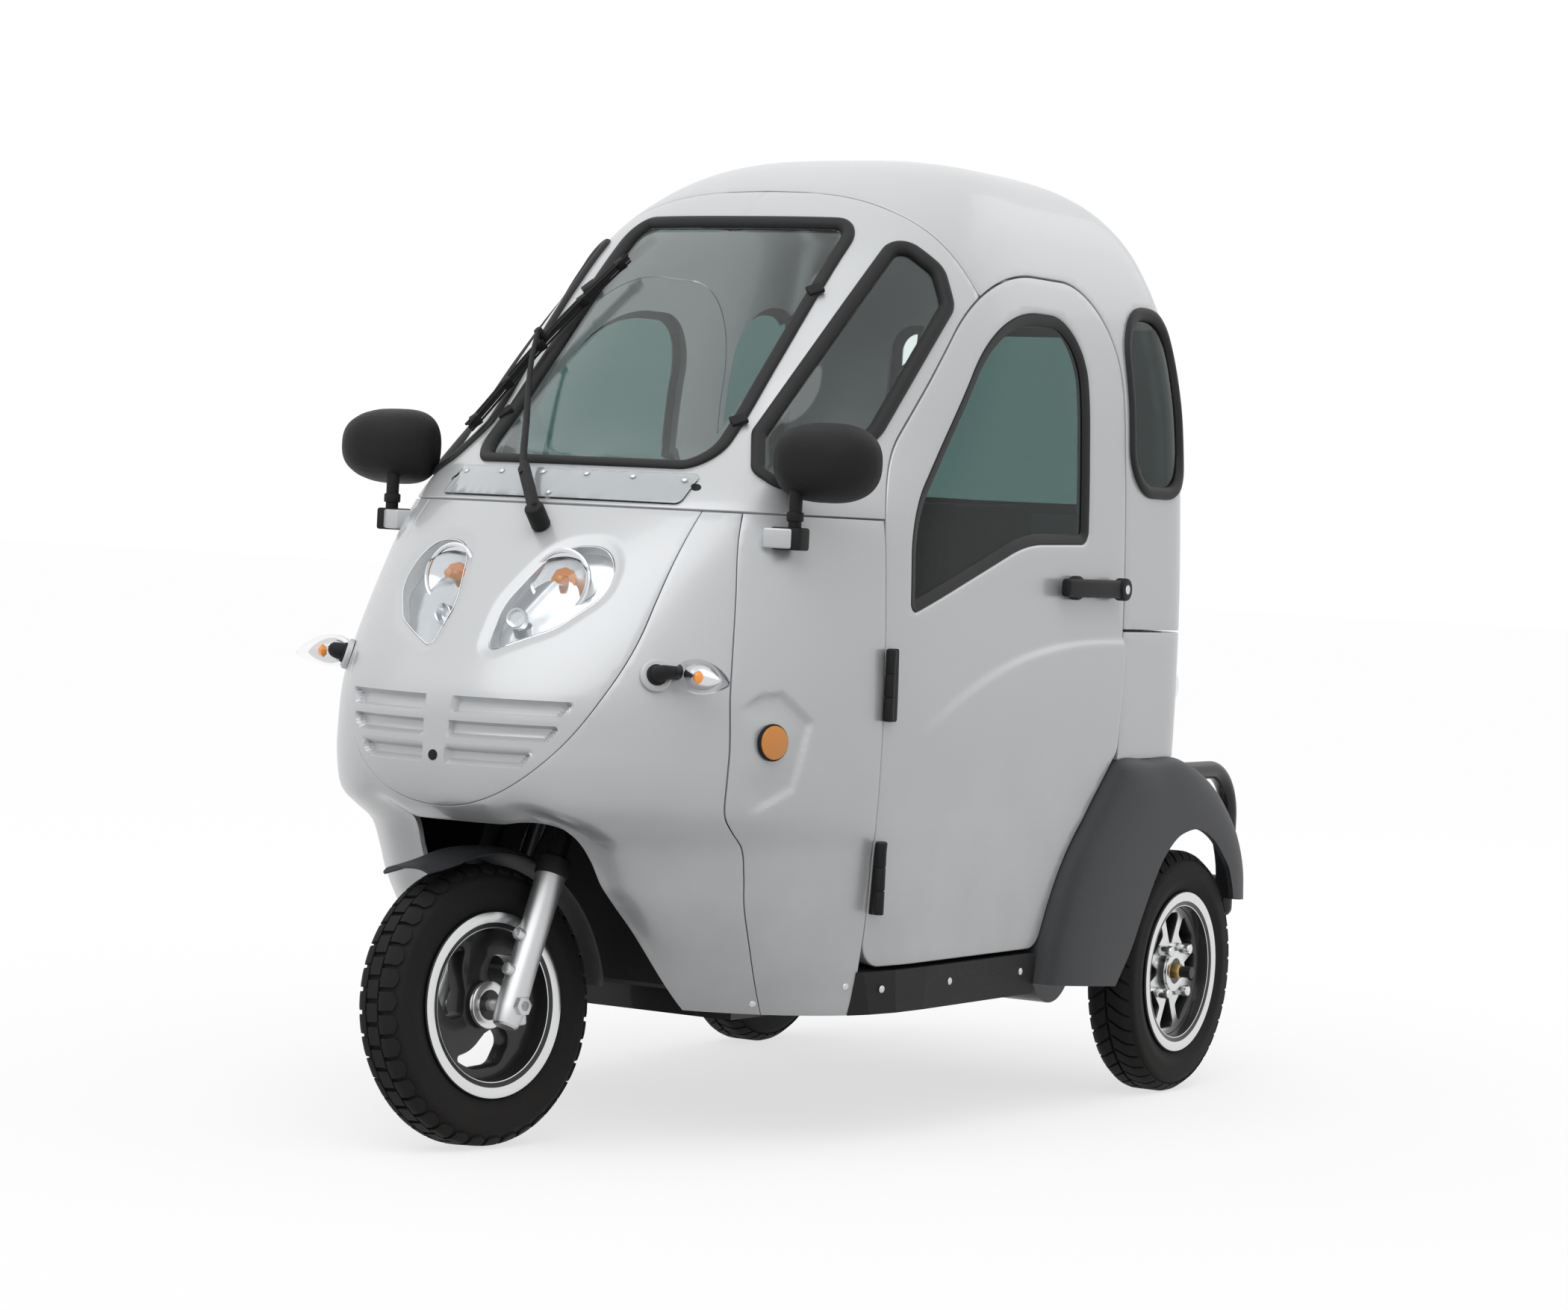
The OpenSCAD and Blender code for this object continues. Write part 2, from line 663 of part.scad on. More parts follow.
module headlight_outline(grow = 0) {
    offset(delta = grow)
    polygon(rounded([
        [52, body_base + 539, 12], [40, body_base + 610, 60], [80, body_base + 703, 50],
        [172, body_base + 703, 34], [186, body_base + 633, 30], [140, body_base + 581, 60]]));
}
lamp_us = [for (u = cowl_us) if (u >= 0) u];
lamp_zs = [for (z = panel_zs) if (z > body_base + 490) z];
module headlight_bowls() {
    color([0.85, 0.85, 0.86]) from_axle() both_sides()
    intersection() {
        body_patch(lamp_us, lamp_zs, wall + 0.3, wall + 12);
        front_prism(-nose_reach - 50, -900) headlight_outline(8);
    }
}
module headlight_lenses() {
    color([0.9, 0.92, 0.93, 0.4]) from_axle() both_sides()
    intersection() {
        body_patch(lamp_us, lamp_zs, -2, 6);
        front_prism(-nose_reach - 50, -900) headlight_outline(-0.3);
    }
}
indicator_h = 513;
// Length and largest diameter of an indicator's lens
lens_l = 84;
lens_d = 44;
module indicators() {
    root = body_point(0.47, body_base + indicator_h);
    out = body_normal(0.47, body_base + indicator_h);
    aim = unit([1, -0.12, -0.06]);
    color([0.9, 0.45, 0.08]) from_axle() both_sides() {
        strut(root + 0.3 * out, root + 8 * out, 44);
        strut(root + 4 * out, root + 22 * out + 14 * aim, 16);
        along(root + 20 * out - 10 * aim, aim) rotate_extrude() polygon([
            [0, 0],
            for (t = [0 : 0.1 : 1])
                [lens_d / 2 * pow(sin(180 * pow(t, 0.8)), 0.75) + 4 * (1 - t), lens_l * t],
            [0, lens_l]]);
    }
}
module side_reflectors() {
    spot = body_point(0.63, body_base + 421);
    out = body_normal(0.63, body_base + 421);
    color([0.95, 0.5, 0.05]) from_axle() both_sides() strut(spot - 0.5 * out, spot + 9 * out, 46);
}
tail_lamp_h = 500;
module tail_lamps() {
    spot = body_point(2.42, body_base + tail_lamp_h);
    out = body_normal(2.42, body_base + tail_lamp_h);
    color([0.7, 0.05, 0.05]) from_axle() both_sides() {
        strut(spot + 0.3 * out, spot + 14 * out, 80);
        strut(spot + 14 * out, spot + 20 * out, 66);
    }
}
// Place of the mirrors, and the size of their shells
mirror_x = 412;
mirror_y = nose_reach - 428;
mirror_z = body_base + 841;
mirror_half = 78;
mirror_high = 60;
mirror_deep = 62;
mirror_wall = 5;
// Ring of a mirror's shell, shrunk by a share and set at a depth ahead of its rim
function mirror_ring(share, depth) =
    [for (a = [0 : 18 : 342]) let (c = cos(a), s = sin(a), e = c < 0 ? 0.62 : 0.85)
        [mirror_half * share * sign(c) * pow(abs(c), e), -depth,
         mirror_high * share * sign(s) * pow(abs(s), 0.8)]];
module mirror_shell() {
    inner = 1 - mirror_wall / mirror_high;
    rings = [mirror_ring(inner, 6), mirror_ring(inner, 0),
        for (t = [0, 20, 40, 58, 74]) mirror_ring(pow(cos(t), 0.7), mirror_deep * sin(t))];
    n = len(rings[0]);
    m = len(rings);
    polyhedron(
        [for (r = rings) each r, [0, -6, 0], [0, -mirror_deep, 0]],
        [for (j = [0 : m - 2]) for (i = [0 : n - 1])
            let (k = (i + 1) % n, a = j * n + i, b = j * n + k, c = b + n, d = a + n)
            each [[a, c, b], [a, d, c]],
         for (i = [0 : n - 1])
            let (k = (i + 1) % n)
            each [[n * m, i, k], [n * m + 1, (m - 1) * n + k, (m - 1) * n + i]]]);
}
module mirrors() {
    elbow = [mirror_x - 40, -mirror_y - 52, belt_z - 36];
    root = elbow - [54, 38, 0];
    color(black) from_axle() both_sides() {
        translate([mirror_x, -mirror_y, mirror_z]) mirror_shell();
        difference() {
            union() {
                translate(elbow) cylinder(d = 20, h = mirror_z - elbow.z - 12);
                translate(elbow + [0, 0, 26]) cylinder(d = 26, h = 14);
                along(root, elbow - root) translate([-16, -16, 0]) cube([32, 32, norm(elbow - root) + 13]);
            }
            body_patch(
                [0.35, 0.42, 0.5, 0.58, 0.66, 0.74, 0.82],
                [for (h = [-90, -60, -30, 0, 30]) belt_z + h], -0.4, 90);
        }
    }
}
module wiper() {
    pivot = [0.02, belt_z - 14];
    grip = [-0.42, body_base + 1010];
    foot = [-0.42, body_base + 885];
    head = [-0.44, body_base + 1150];
    function off(q, d) = body_point(q[0], q[1]) + d * body_normal(q[0], q[1]);
    color(black) from_axle() {
        strut(off(pivot, 0.3), off(pivot, 44), 24);
        strut(off(pivot, 38), off(grip, 30), 9);
        strut(off(foot, 22), off(head, 26), 12);
    }
}
module vent_plate() {
    color([0.8, 0.85, 0.86, 0.5]) from_axle()
    intersection() {
        body_patch(
            [-0.5, -0.38, -0.25, -0.12, 0, 0.12, 0.25, 0.38, 0.5],
            [for (h = [3, 19, 39, 61]) belt_z + h], -4, -0.3);
        front_prism(-nose_reach - 50, -900)
            translate([-screen_half + 5, belt_z + 6]) square([2 * screen_half - 10, 46]);
    }
}

// Chassis

axis_dir = [0, sin(rake), cos(rake)];
wheel_mid = [0, -wheelbase, tyre_r + front_rise];
axis_foot = wheel_mid + [0, fork_lead, 0];
stem_r = 17;
head_low = 470;
head_high = 590;
head_gap = 0.05;
function on_axis(s) = axis_foot + s * axis_dir;
module along_axis(s) translate(on_axis(s)) rotate([-rake, 0, 0]) children();

floor_t = 6;
rail_front = 1165;
rail_back = 150;
rail_z = floor_z - floor_t - rail_s;
// Rise of the rails over the rear axle
kick_y = 340;
kick_l = 230;
kick_z = 132;
module head_strut(d) {
    strut(on_axis(head_low + 60) + [8, 6, 0], [rail_x - 15, -rail_front + 20, rail_z + rail_s / 2], d);
}
module chassis_frame() {
    color(black) from_axle() {
        difference() {
            along_axis(head_low) cylinder(r = stem_r + 10, h = head_high - head_low);
            along_axis(head_low - 5) cylinder(r = stem_r + head_gap, h = head_high - head_low + 10);
        }
        difference() {
            both_sides() {
                head_strut(34);
                side_prism(rail_x - rail_s / 2, rail_x + rail_s / 2) polygon([
                    [-rail_front, rail_z], [-kick_y, rail_z], [-kick_y + kick_l, rail_z + kick_z],
                    [rail_back, rail_z + kick_z], [rail_back, rail_z + kick_z + rail_s],
                    [-kick_y + kick_l - 12, rail_z + kick_z + rail_s], [-kick_y - 12, rail_z + rail_s],
                    [-rail_front, rail_z + rail_s]]);
            }
            along_axis(head_low - 5) cylinder(r = stem_r + 4, h = head_high - head_low + 10);
        }
        for (y = [-rail_front, -760, -kick_y - 70])
            translate([-rail_x, y, rail_z]) cube([2 * rail_x, rail_s, rail_s]);
        difference() {
            translate([-rail_x, rail_back - rail_s, rail_z + kick_z]) cube([2 * rail_x, rail_s, rail_s]);
            for (s = [-1, 1]) translate([s * tow_gap / 2, rail_back + 5, rail_z + kick_z + rail_s / 2])
                rotate([90, 0, 0]) cylinder(d = tow_hole, h = rail_s + 10);
        }
    }
}
deck_z = 420;
riser_y = 375;
wall_y = nose_reach - 438;
house_x = rear_track / 2 - 67;
module floor_pan() {
    color([0.2, 0.2, 0.2]) from_axle() {
        difference() {
            translate([0, 0, floor_z - floor_t]) linear_extrude(floor_t) intersection() {
                inner_plan(floor_z, wall + 26);
                translate([-500, -wall_y]) square([1000, wall_y - riser_y]);
            }
            both_sides() head_strut(36);
        }
        translate([-house_x, -riser_y, floor_z - floor_t])
            cube([2 * house_x, floor_t, deck_z - floor_z + floor_t]);
        translate([0, 0, deck_z - floor_t]) linear_extrude(floor_t) intersection() {
            inner_plan(deck_z, wall + 0.5);
            translate([-house_x, -riser_y]) square([2 * house_x, riser_y + 200]);
        }
    }
}
module bulkhead() {
    zs = [floor_z, 300, 400, 500, 600, 700, 800, 900];
    edge = [for (z = zs) [body_x(-wall_y, z) - 2.1 * wall, z]];
    color([0.12, 0.12, 0.12]) from_axle()
    difference() {
        front_prism(-wall_y, -wall_y + 8)
            polygon([each edge, for (i = [len(edge) - 1 : -1 : 0]) [-edge[i].x, edge[i].y]]);
        along_axis(0) cylinder(r = 36, h = 900);
        both_sides() head_strut(40);
    }
}
module wheel_houses() {
    color([0.1, 0.1, 0.1]) from_axle() both_sides() difference() {
        union() {
            translate([house_x, -riser_y, floor_z]) cube([5, riser_y - 4, guard_top - floor_z]);
            translate([house_x, -250, guard_top - 8]) cube([guard_in - house_x - 0.3, 250, 8]);
        }
        translate([0, 0, tyre_r]) rotate([0, 90, 0]) cylinder(r = drum_r + 30, h = 600);
    }
}
axle_r = 24;
drum_r = 85;
hub_in = 30;
module rear_axle() {
    color([0.3, 0.3, 0.31]) from_axle() translate([0, 0, tyre_r]) {
        rotate([0, 90, 0]) {
            translate([0, 0, -rear_track / 2 + 60]) cylinder(r = axle_r, h = rear_track - 120);
            for (s = [-1, 1]) {
                translate([0, 0, s * (rear_track / 2 - 55) - 12]) cylinder(r = drum_r, h = 24);
                translate([0, 0, s * rear_track / 2 - 62]) cylinder(d = stub_d, h = 124);
            }
            translate([0, 0, -45]) cylinder(r = 95, h = 90);
            translate([0, 0, 30]) cylinder(r = 80, h = 170);
        }
    }
}
spring_x = rear_track / 2 - 132;
module leaf_springs() {
    sag = 60;
    span = 560;
    bow = (span * span / 4 + sag * sag) / (2 * sag);
    leaf = 8;
    color(black) from_axle() both_sides()
    translate([spring_x - 22, 0, tyre_r + axle_r + 0.3]) {
        side_prism(0, 44) for (i = [0 : 2])
            intersection() {
                translate([0, bow]) difference() {
                    circle(r = bow - i * leaf, $fn = 96);
                    circle(r = bow - (i + 1) * leaf, $fn = 96);
                }
                translate([-span / 2 + i * 70, -5]) square([span - 140 * i, sag + 40]);
            }
        for (s = [-1, 1]) translate([rail_x + rail_s / 2 - spring_x + 22, s * (span / 2 - 14) - 14, sag - 8])
            cube([44 - rail_x - rail_s / 2 + spring_x - 22, 28, 70]);
    }
}
module rear_bumper() {
    d = bumper_d;
    y0 = 40;
    y1 = bumper_reach - d / 2;
    top = 552;
    low = 300;
    x = 382;
    r = 90;
    color(black) from_axle() {
        both_sides() {
            strut([x, y0, top], [x, y1 - r, top], d);
            translate([x, y1 - r, top - r]) rotate([0, -90, 0]) rotate_extrude(angle = 90)
                translate([r, 0]) circle(d = d);
            strut([x, y1, top - r], [x, y1, low], d);
            translate([x, y1, low]) sphere(d = d);
            strut([rail_x, rail_back, rail_z + kick_z + rail_s / 2], [rail_x, y1, rail_z + kick_z + rail_s / 2], 28);
        }
        strut([-x, y1, low], [x, y1, low], d);
        strut([-x, y1, rail_z + kick_z + rail_s / 2], [x, y1, rail_z + kick_z + rail_s / 2], d);
    }
}
// Columns of the rear mudguards' rows
G_Y = 0;
G_Z = 1;
G_LIP_Y = 2;
G_LIP_Z = 3;
// Edge on the body: distance behind the axle, height above the body's lower edge;
// lip of the wheel arch: distance behind the axle, height above the axle
guard_rows = [
    [-guard_foot, 15, -294, -4], [-492, 96, -246, 48], [-436, 208, -205, 108], [-367, 296, -164, 166],
    [-306, 354, -128, 207], [-262, 377, -95, 230], [-150, 378, -45, 247], [-40, 378, 10, 249],
    [60, 347, 62, 232], [150, 293, 108, 201], [207, 235, 138, 173], [234, 179, 154, 142], [241, 119, 160, 123]];
guard_in = house_x + 57;
guard_t = 5;
// Roundness of the mudguards' bulge
guard_bulge = 2.4;
module rear_mudguards() {
    edge_x = half_w + 3;
    lip_x = rear_track / 2 + tyre_w / 2 + 15;
    steps = [0, 0.06, 0.16, 0.32, 0.55, 1];
    color(black) from_axle() both_sides() difference() {
        sheet([for (r = guard_rows)
            let (edge = [r[G_Y], body_base + r[G_Z]], lip = [r[G_LIP_Y], tyre_r + r[G_LIP_Z]])
            [[guard_in, edge.x, edge.y],
             for (s = steps)
                let (q = edge + s * (lip - edge), out = pow(1 - pow(1 - s, guard_bulge), 1 / guard_bulge))
                [edge_x + (lip_x - edge_x) * out, q.x, q.y]]], guard_t);
        side_prism(150, 600) door_outline(door_gap);
    }
}

// Cabin

module dashboard() {
    color(black) from_axle()
    intersection() {
        body_patch(cowl_us, [for (z = panel_zs) if (z > body_base + 720) z], wall + 0.5, wall + 70);
        translate([-244, -nose_reach, belt_z - 42]) cube([488, 388, 40]);
    }
}
seat_z = 560;
module seat_base() {
    color([0.15, 0.15, 0.15]) from_axle()
    translate([-250, -710, floor_z]) difference() {
        cube([500, 330, seat_z - floor_z]);
        translate([20, 20, -1]) cube([460, 290, seat_z - floor_z - 15]);
    }
}
module seat_cushion() {
    color([0.2, 0.2, 0.21]) from_axle()
    translate([-240, -760, seat_z + 0.3]) cube([480, 400, 90]);
}
module seat_back() {
    color([0.2, 0.2, 0.21]) from_axle()
    translate([-235, -345, deck_z + 0.3 + 80 * sin(10)]) rotate([-10, 0, 0]) cube([470, 80, 590]);
}
module battery_pack() {
    color([0.25, 0.25, 0.27]) from_axle()
    translate([-180, -670, floor_z]) cube([360, 250, 220]);
}

// Steered front end, turned about the raked axis

module turned() {
    translate(axis_foot) rotate(a = rest_turn, v = axis_dir) translate(-axis_foot) children();
}
slide_top = 232;
leg_top = 425;
// Place of the handlebar along the steering axis
bar_s = 770;
module fork() {
    color([0.3, 0.3, 0.31]) from_axle() turned() {
        for (s = [-1, 1])
            translate([s * leg_x, 0, 0])
                strut(wheel_mid + (slide_top - 40) * axis_dir, wheel_mid + leg_top * axis_dir, 30);
        along_axis(leg_top - 50) translate([0, -fork_lead * cos(rake), 0])
            linear_extrude(26) polygon(rounded([
                [-leg_x - 24, -24, 22], [leg_x + 24, -24, 22], [leg_x + 24, 24, 22], [34, 56, 20],
                [-34, 56, 20], [-leg_x - 24, 24, 22]]));
        along_axis(leg_top - 40) cylinder(r = stem_r, h = bar_s - leg_top + 40);
        along_axis(leg_top - 24) cylinder(r = stem_r + 8, h = head_low - leg_top + 23.7);
    }
}
module fork_sliders() {
    color(silver) from_axle() turned() {
        for (s = [-1, 1]) translate([s * leg_x, 0, 0])
            difference() {
                union() {
                    strut(wheel_mid - 34 * axis_dir, wheel_mid + slide_top * axis_dir, slider_d);
                    strut(
                        wheel_mid + (slide_top - 22) * axis_dir, wheel_mid + (slide_top + 6) * axis_dir,
                        slider_d + 6);
                }
                strut(wheel_mid + (slide_top - 42) * axis_dir, wheel_mid + (slide_top + 8) * axis_dir, 30.6);
            }
        translate(wheel_mid) rotate([0, 90, 0]) translate([0, 0, -leg_x - slider_d / 2 - 8])
            cylinder(d = stub_d, h = 2 * leg_x + slider_d + 16);
    }
}
module front_mudguard() {
    r = tyre_r + 28;
    half = leg_x - slider_d / 2 - 3.3;
    tip = 124;
    color(black) from_axle() turned() translate(wheel_mid)
    sheet([for (a = [tip : -8 : 4])
        [for (k = [-1, -0.85, -0.5, 0, 0.5, 0.85, 1])
            let (q = r - 12 * pow(abs(k), 4) + 18 * pow(max(0, (a - tip + 18) / 18), 2))
            [half * k, q * cos(a), q * sin(a)]]], 4);
}
module handlebar() {
    color(black) from_axle() turned() {
        along_axis(bar_s + 0.3) {
            cylinder(r = stem_r + 6, h = 30);
            translate([0, 0, 20]) rotate([0, 90, 0]) translate([0, 0, -bar_half]) cylinder(d = 24, h = 2 * bar_half);
            for (s = [-1, 1]) translate([s * (bar_half - 60), 0, 20]) rotate([0, 90, 0])
                translate([0, 0, -60]) cylinder(d = 34, h = 120);
            translate([-55, -40, 26]) cube([110, 70, 26]);
        }
    }
}

// Wheels, turning about X

bead = 13;
module tyre() {
    r = tyre_r;
    s = rim_d / 2 + 0.3;
    w = tyre_w / 2;
    rotate([0, 90, 0]) rotate_extrude($fn = 96) polygon(rounded([
        [s, -w + 16, 4], [s + 14, -w + 9, 8], [s + 36, -w, 26], [r - 14, -w + 2, 14], [r, -w + 20, shoulder_r],
        [r, w - 20, shoulder_r], [r - 14, w - 2, 14], [s + 36, w, 26], [s + 14, w - 9, 8], [s, w - 16, 4]], 4));
}
hub_r = 34;
rim_r = rim_d / 2;
module wheel_body() {
    w = tyre_w / 2 - 8;
    r = rim_r;
    difference() {
        rotate([0, 90, 0]) union() {
            rotate_extrude($fn = 96) polygon([
                [r - 7, -w], [r + bead, -w], [r + bead, -w - 4], [r - 7 + bead, -w - 6], [r - 12, -w - 2],
                [r - 14, -w + 20], [r - 24, 0], [r - 14, w - 20], [r - 12, w + 2], [r - 7 + bead, w + 6],
                [r + bead, w + 4], [r + bead, w], [r - 7, w], [r, w - 8], [r, -w + 8]]);
            translate([0, 0, -w + 6]) cylinder(r = hub_r, h = 2 * w - 12);
            translate([0, 0, -12]) cylinder(r = r - 16, h = 30);
        }
        rotate([0, 90, 0]) translate([0, 0, -100]) cylinder(d = stub_d + 2 * hub_clear, h = 200);
        children();
    }
}
// Cast wheel with swirled spokes between comma-shaped openings
module swirl_rim() {
    wheel_body()
        for (i = [0 : front_spokes - 1]) rotate([i * 360 / front_spokes, 0, 0])
            side_prism(-60, 60) polygon(rounded([
                [-64, -76, 5], [-26, -68, 60], [2, -hub_r - 10, 14], [34, -31, 9], [52, -56, 18],
                [28, -rim_r + 36, 22], [-28, -rim_r + 33, 50]], 4));
}
// Wheel with pairs of spokes that meet at the hub, and a wheel nut between the pairs
nut_d = 19;
nut_r = 52;
nut_l = 24;
module paired_rim() {
    turn = 360 / rear_pairs;
    reach = rim_r - 28;
    outer = reach * tan(turn / 4) - 12;
    wheel_body()
        for (i = [0 : rear_pairs - 1]) {
            rotate([i * turn, 0, 0]) side_prism(-60, 60) polygon(rounded([
                [-3, hub_r + 16, 2], [3, hub_r + 16, 2], [outer - 2, reach, 7], [-outer + 2, reach, 7]], 3));
            rotate([(i + 0.5) * turn, 0, 0]) side_prism(-60, 60) polygon(rounded([
                [-21, nut_r + 15, 6], [21, nut_r + 15, 6], [outer + 2, reach, 7], [-outer - 2, reach, 7]], 3));
        }
    for (i = [0 : rear_pairs - 1]) rotate([(i + 0.5) * turn, 0, 0])
        translate([17, 0, nut_r]) rotate([0, 90, 0]) cylinder(d = nut_d, h = nut_l);
}
module front_tyre() color(black) from_axle() turned() translate(wheel_mid) tyre();
module front_rim() color([0.25, 0.25, 0.26]) from_axle() turned() translate(wheel_mid) swirl_rim();
module rear_tyre_left() color(black) from_axle() translate([rear_track / 2, 0, tyre_r]) tyre();
module rear_rim_left() color(silver) from_axle() translate([rear_track / 2, 0, tyre_r]) paired_rim();
module rear_tyre_right() color(black) from_axle() mirror([1, 0, 0]) translate([rear_track / 2, 0, tyre_r]) tyre();
module rear_rim_right() color(silver) from_axle() mirror([1, 0, 0])
    translate([rear_track / 2, 0, tyre_r]) paired_rim();

chassis_frame();
floor_pan();
bulkhead();
wheel_houses();
front_cowl();
front_apron();
front_panel_left();
front_panel_right();
windscreen_frame();
windscreen();
windscreen_seal();
quarter_glass();
quarter_seals();
roof_shell();
rear_body();
rear_glass();
rear_seals();
rear_mudguards();
sills();
rear_bumper();
headlight_bowls();
headlight_lenses();
indicators();
side_reflectors();
tail_lamps();
mirrors();
wiper();
vent_plate();
dashboard();
seat_base();
seat_cushion();
seat_back();
battery_pack();
rear_axle();
leaf_springs();
fork();
fork_sliders();
front_mudguard();
handlebar();
front_tyre();
front_rim();
rear_tyre_left();
rear_rim_left();
rear_tyre_right();
rear_rim_right();
door_left();
door_left_glass();
door_left_fittings();
door_right();
door_right_glass();
door_right_fittings();
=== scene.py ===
import json
import math

import bmesh
import bpy
import numpy as np
from mathutils import Matrix, Vector, kdtree
from mathutils.geometry import delaunay_2d_cdt


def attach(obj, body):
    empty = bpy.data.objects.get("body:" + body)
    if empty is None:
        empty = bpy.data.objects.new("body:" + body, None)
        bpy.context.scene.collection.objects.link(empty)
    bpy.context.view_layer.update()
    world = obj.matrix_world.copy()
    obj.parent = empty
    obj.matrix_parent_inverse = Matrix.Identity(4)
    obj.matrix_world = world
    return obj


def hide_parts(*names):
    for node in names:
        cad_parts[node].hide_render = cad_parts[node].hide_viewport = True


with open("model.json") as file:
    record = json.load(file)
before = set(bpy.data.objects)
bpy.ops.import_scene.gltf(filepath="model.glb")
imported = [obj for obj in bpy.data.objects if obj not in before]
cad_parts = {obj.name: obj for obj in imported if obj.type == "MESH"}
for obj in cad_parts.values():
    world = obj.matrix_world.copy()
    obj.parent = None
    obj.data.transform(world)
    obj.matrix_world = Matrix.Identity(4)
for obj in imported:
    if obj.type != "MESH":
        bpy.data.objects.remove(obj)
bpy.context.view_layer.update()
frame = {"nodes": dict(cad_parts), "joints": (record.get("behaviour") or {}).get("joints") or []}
joints = {j["name"]: j for j in frame["joints"]}
mm = 0.001
axleY = joints["rear_wheel_left_spin"]["pos_m"][1] / mm      # rear axle, from the middle of the vehicle

# shared nodes


def feed(tree, socket, value):
    # a plain value, or a link from another node
    if isinstance(value, (int, float, tuple)):
        socket.default_value = value
    else:
        tree.links.new(value, socket)


def setInputs(node, values):
    for label, value in values.items():
        node.inputs[label].default_value = value


def mathNode(tree, operation, *values, clamp=False):
    node = tree.nodes.new("ShaderNodeMath")
    node.operation = operation
    node.use_clamp = clamp
    for socket, value in zip(node.inputs, values):
        feed(tree, socket, value)
    return node.outputs[0]


def noiseNode(tree, coord, scale, detail):
    node = tree.nodes.new("ShaderNodeTexNoise")
    for label, value in (("Detail", detail), ("Vector", coord), ("Scale", scale)):
        feed(tree, node.inputs[label], value)
    return node.outputs["Fac"]


def mixColours(tree, share, first, second):
    node = tree.nodes.new("ShaderNodeMix")
    node.data_type = "RGBA"
    for label, value in (("Factor", share), ("A", first), ("B", second)):
        feed(tree, node.inputs[label], value)
    return node.outputs["Result"]


def newMaterial(name):
    mat = bpy.data.materials.new(name)
    mat.use_nodes = True
    return mat, mat.node_tree, mat.node_tree.nodes["Principled BSDF"]


# camera, floor and light

photoCamera = dict(yaw=31.39, pitch=1.75, roll=2.85, distance=7492.85, across=-396.52, up=708.04,
                   lens=95.5, shiftX=0.0239, shiftY=0.0029)
studio = dict(floorSize=120.0, floorTone=0.30, floorGlow=0.69, skyTop=0.80, skyLow=0.15, sun=1.15,
              sunSpread=60.0, fill=15.0, rim=25.0)


def makeCamera():
    c = photoCamera
    yaw, pitch, roll = (math.radians(c[k]) for k in ("yaw", "pitch", "roll"))
    back = Vector((math.sin(yaw) * math.cos(pitch), -math.cos(yaw) * math.cos(pitch), math.sin(pitch)))
    right = Vector((math.cos(yaw), math.sin(yaw), 0))
    up = back.cross(right)
    place = back * c["distance"] + right * c["across"] + up * c["up"]
    place.y += axleY
    rolledRight = right * math.cos(roll) + up * math.sin(roll)
    rolledUp = up * math.cos(roll) - right * math.sin(roll)
    turn = Matrix((rolledRight, rolledUp, back)).transposed()
    data = bpy.data.cameras.new("photoCamera")
    data.lens = c["lens"]
    data.shift_x = c["shiftX"]
    data.shift_y = c["shiftY"]
    data.clip_end = 200
    camera = bpy.data.objects.new("photoCamera", data)
    camera.matrix_world = Matrix.Translation(place * mm) @ turn.to_4x4()
    bpy.context.scene.collection.objects.link(camera)
    bpy.context.scene.camera = camera


def seenRays(tree):
    # 1 where the camera looks, also by way of metal and glass
    paths = tree.nodes.new("ShaderNodeLightPath").outputs
    glossy = mathNode(tree, "MAXIMUM", paths["Is Camera Ray"], paths["Is Glossy Ray"])
    return mathNode(tree, "MAXIMUM", glossy, paths["Is Transmission Ray"])


def makeStudio():
    bpy.context.scene.view_settings.view_transform = "Standard"
    world = bpy.data.worlds.new("softSky")
    bpy.context.scene.world = world
    world.use_nodes = True
    tree = world.node_tree
    coord = tree.nodes.new("ShaderNodeTexCoord")
    split = tree.nodes.new("ShaderNodeSeparateXYZ")
    ramp = tree.nodes.new("ShaderNodeValToRGB")
    for stop, place, tone in zip(ramp.color_ramp.elements, (0.0, 0.7), ("skyLow", "skyTop")):
        stop.position = place
        stop.color = (studio[tone],) * 3 + (1,)
    tree.links.new(coord.outputs["Generated"], split.inputs[0])
    tree.links.new(split.outputs["Z"], ramp.inputs[0])
    white = mixColours(tree, seenRays(tree), ramp.outputs[0], (1, 1, 1, 1))
    tree.links.new(white, tree.nodes["Background"].inputs["Color"])
    addFloor()
    sun = bpy.data.lights.new("sunLamp", "SUN")
    sun.energy = studio["sun"]
    sun.angle = math.radians(studio["sunSpread"])
    addLamp(sun, (1.0, -4.2, 6.8))
    for name, place in (("fill", (-5.0, -4.0, 3.6)), ("rim", (2.0, 6.0, 5.0))):
        light = bpy.data.lights.new(name + "Lamp", "AREA")
        light.energy = studio[name]
        light.size = 4.0
        addLamp(light, place)


def addLamp(light, place):
    lamp = bpy.data.objects.new(light.name, light)
    lamp.location = place
    lamp.rotation_mode = "QUATERNION"
    lamp.rotation_quaternion = (Vector((0, 0, 0.7)) - Vector(place)).to_track_quat("-Z", "Y")
    bpy.context.scene.collection.objects.link(lamp)


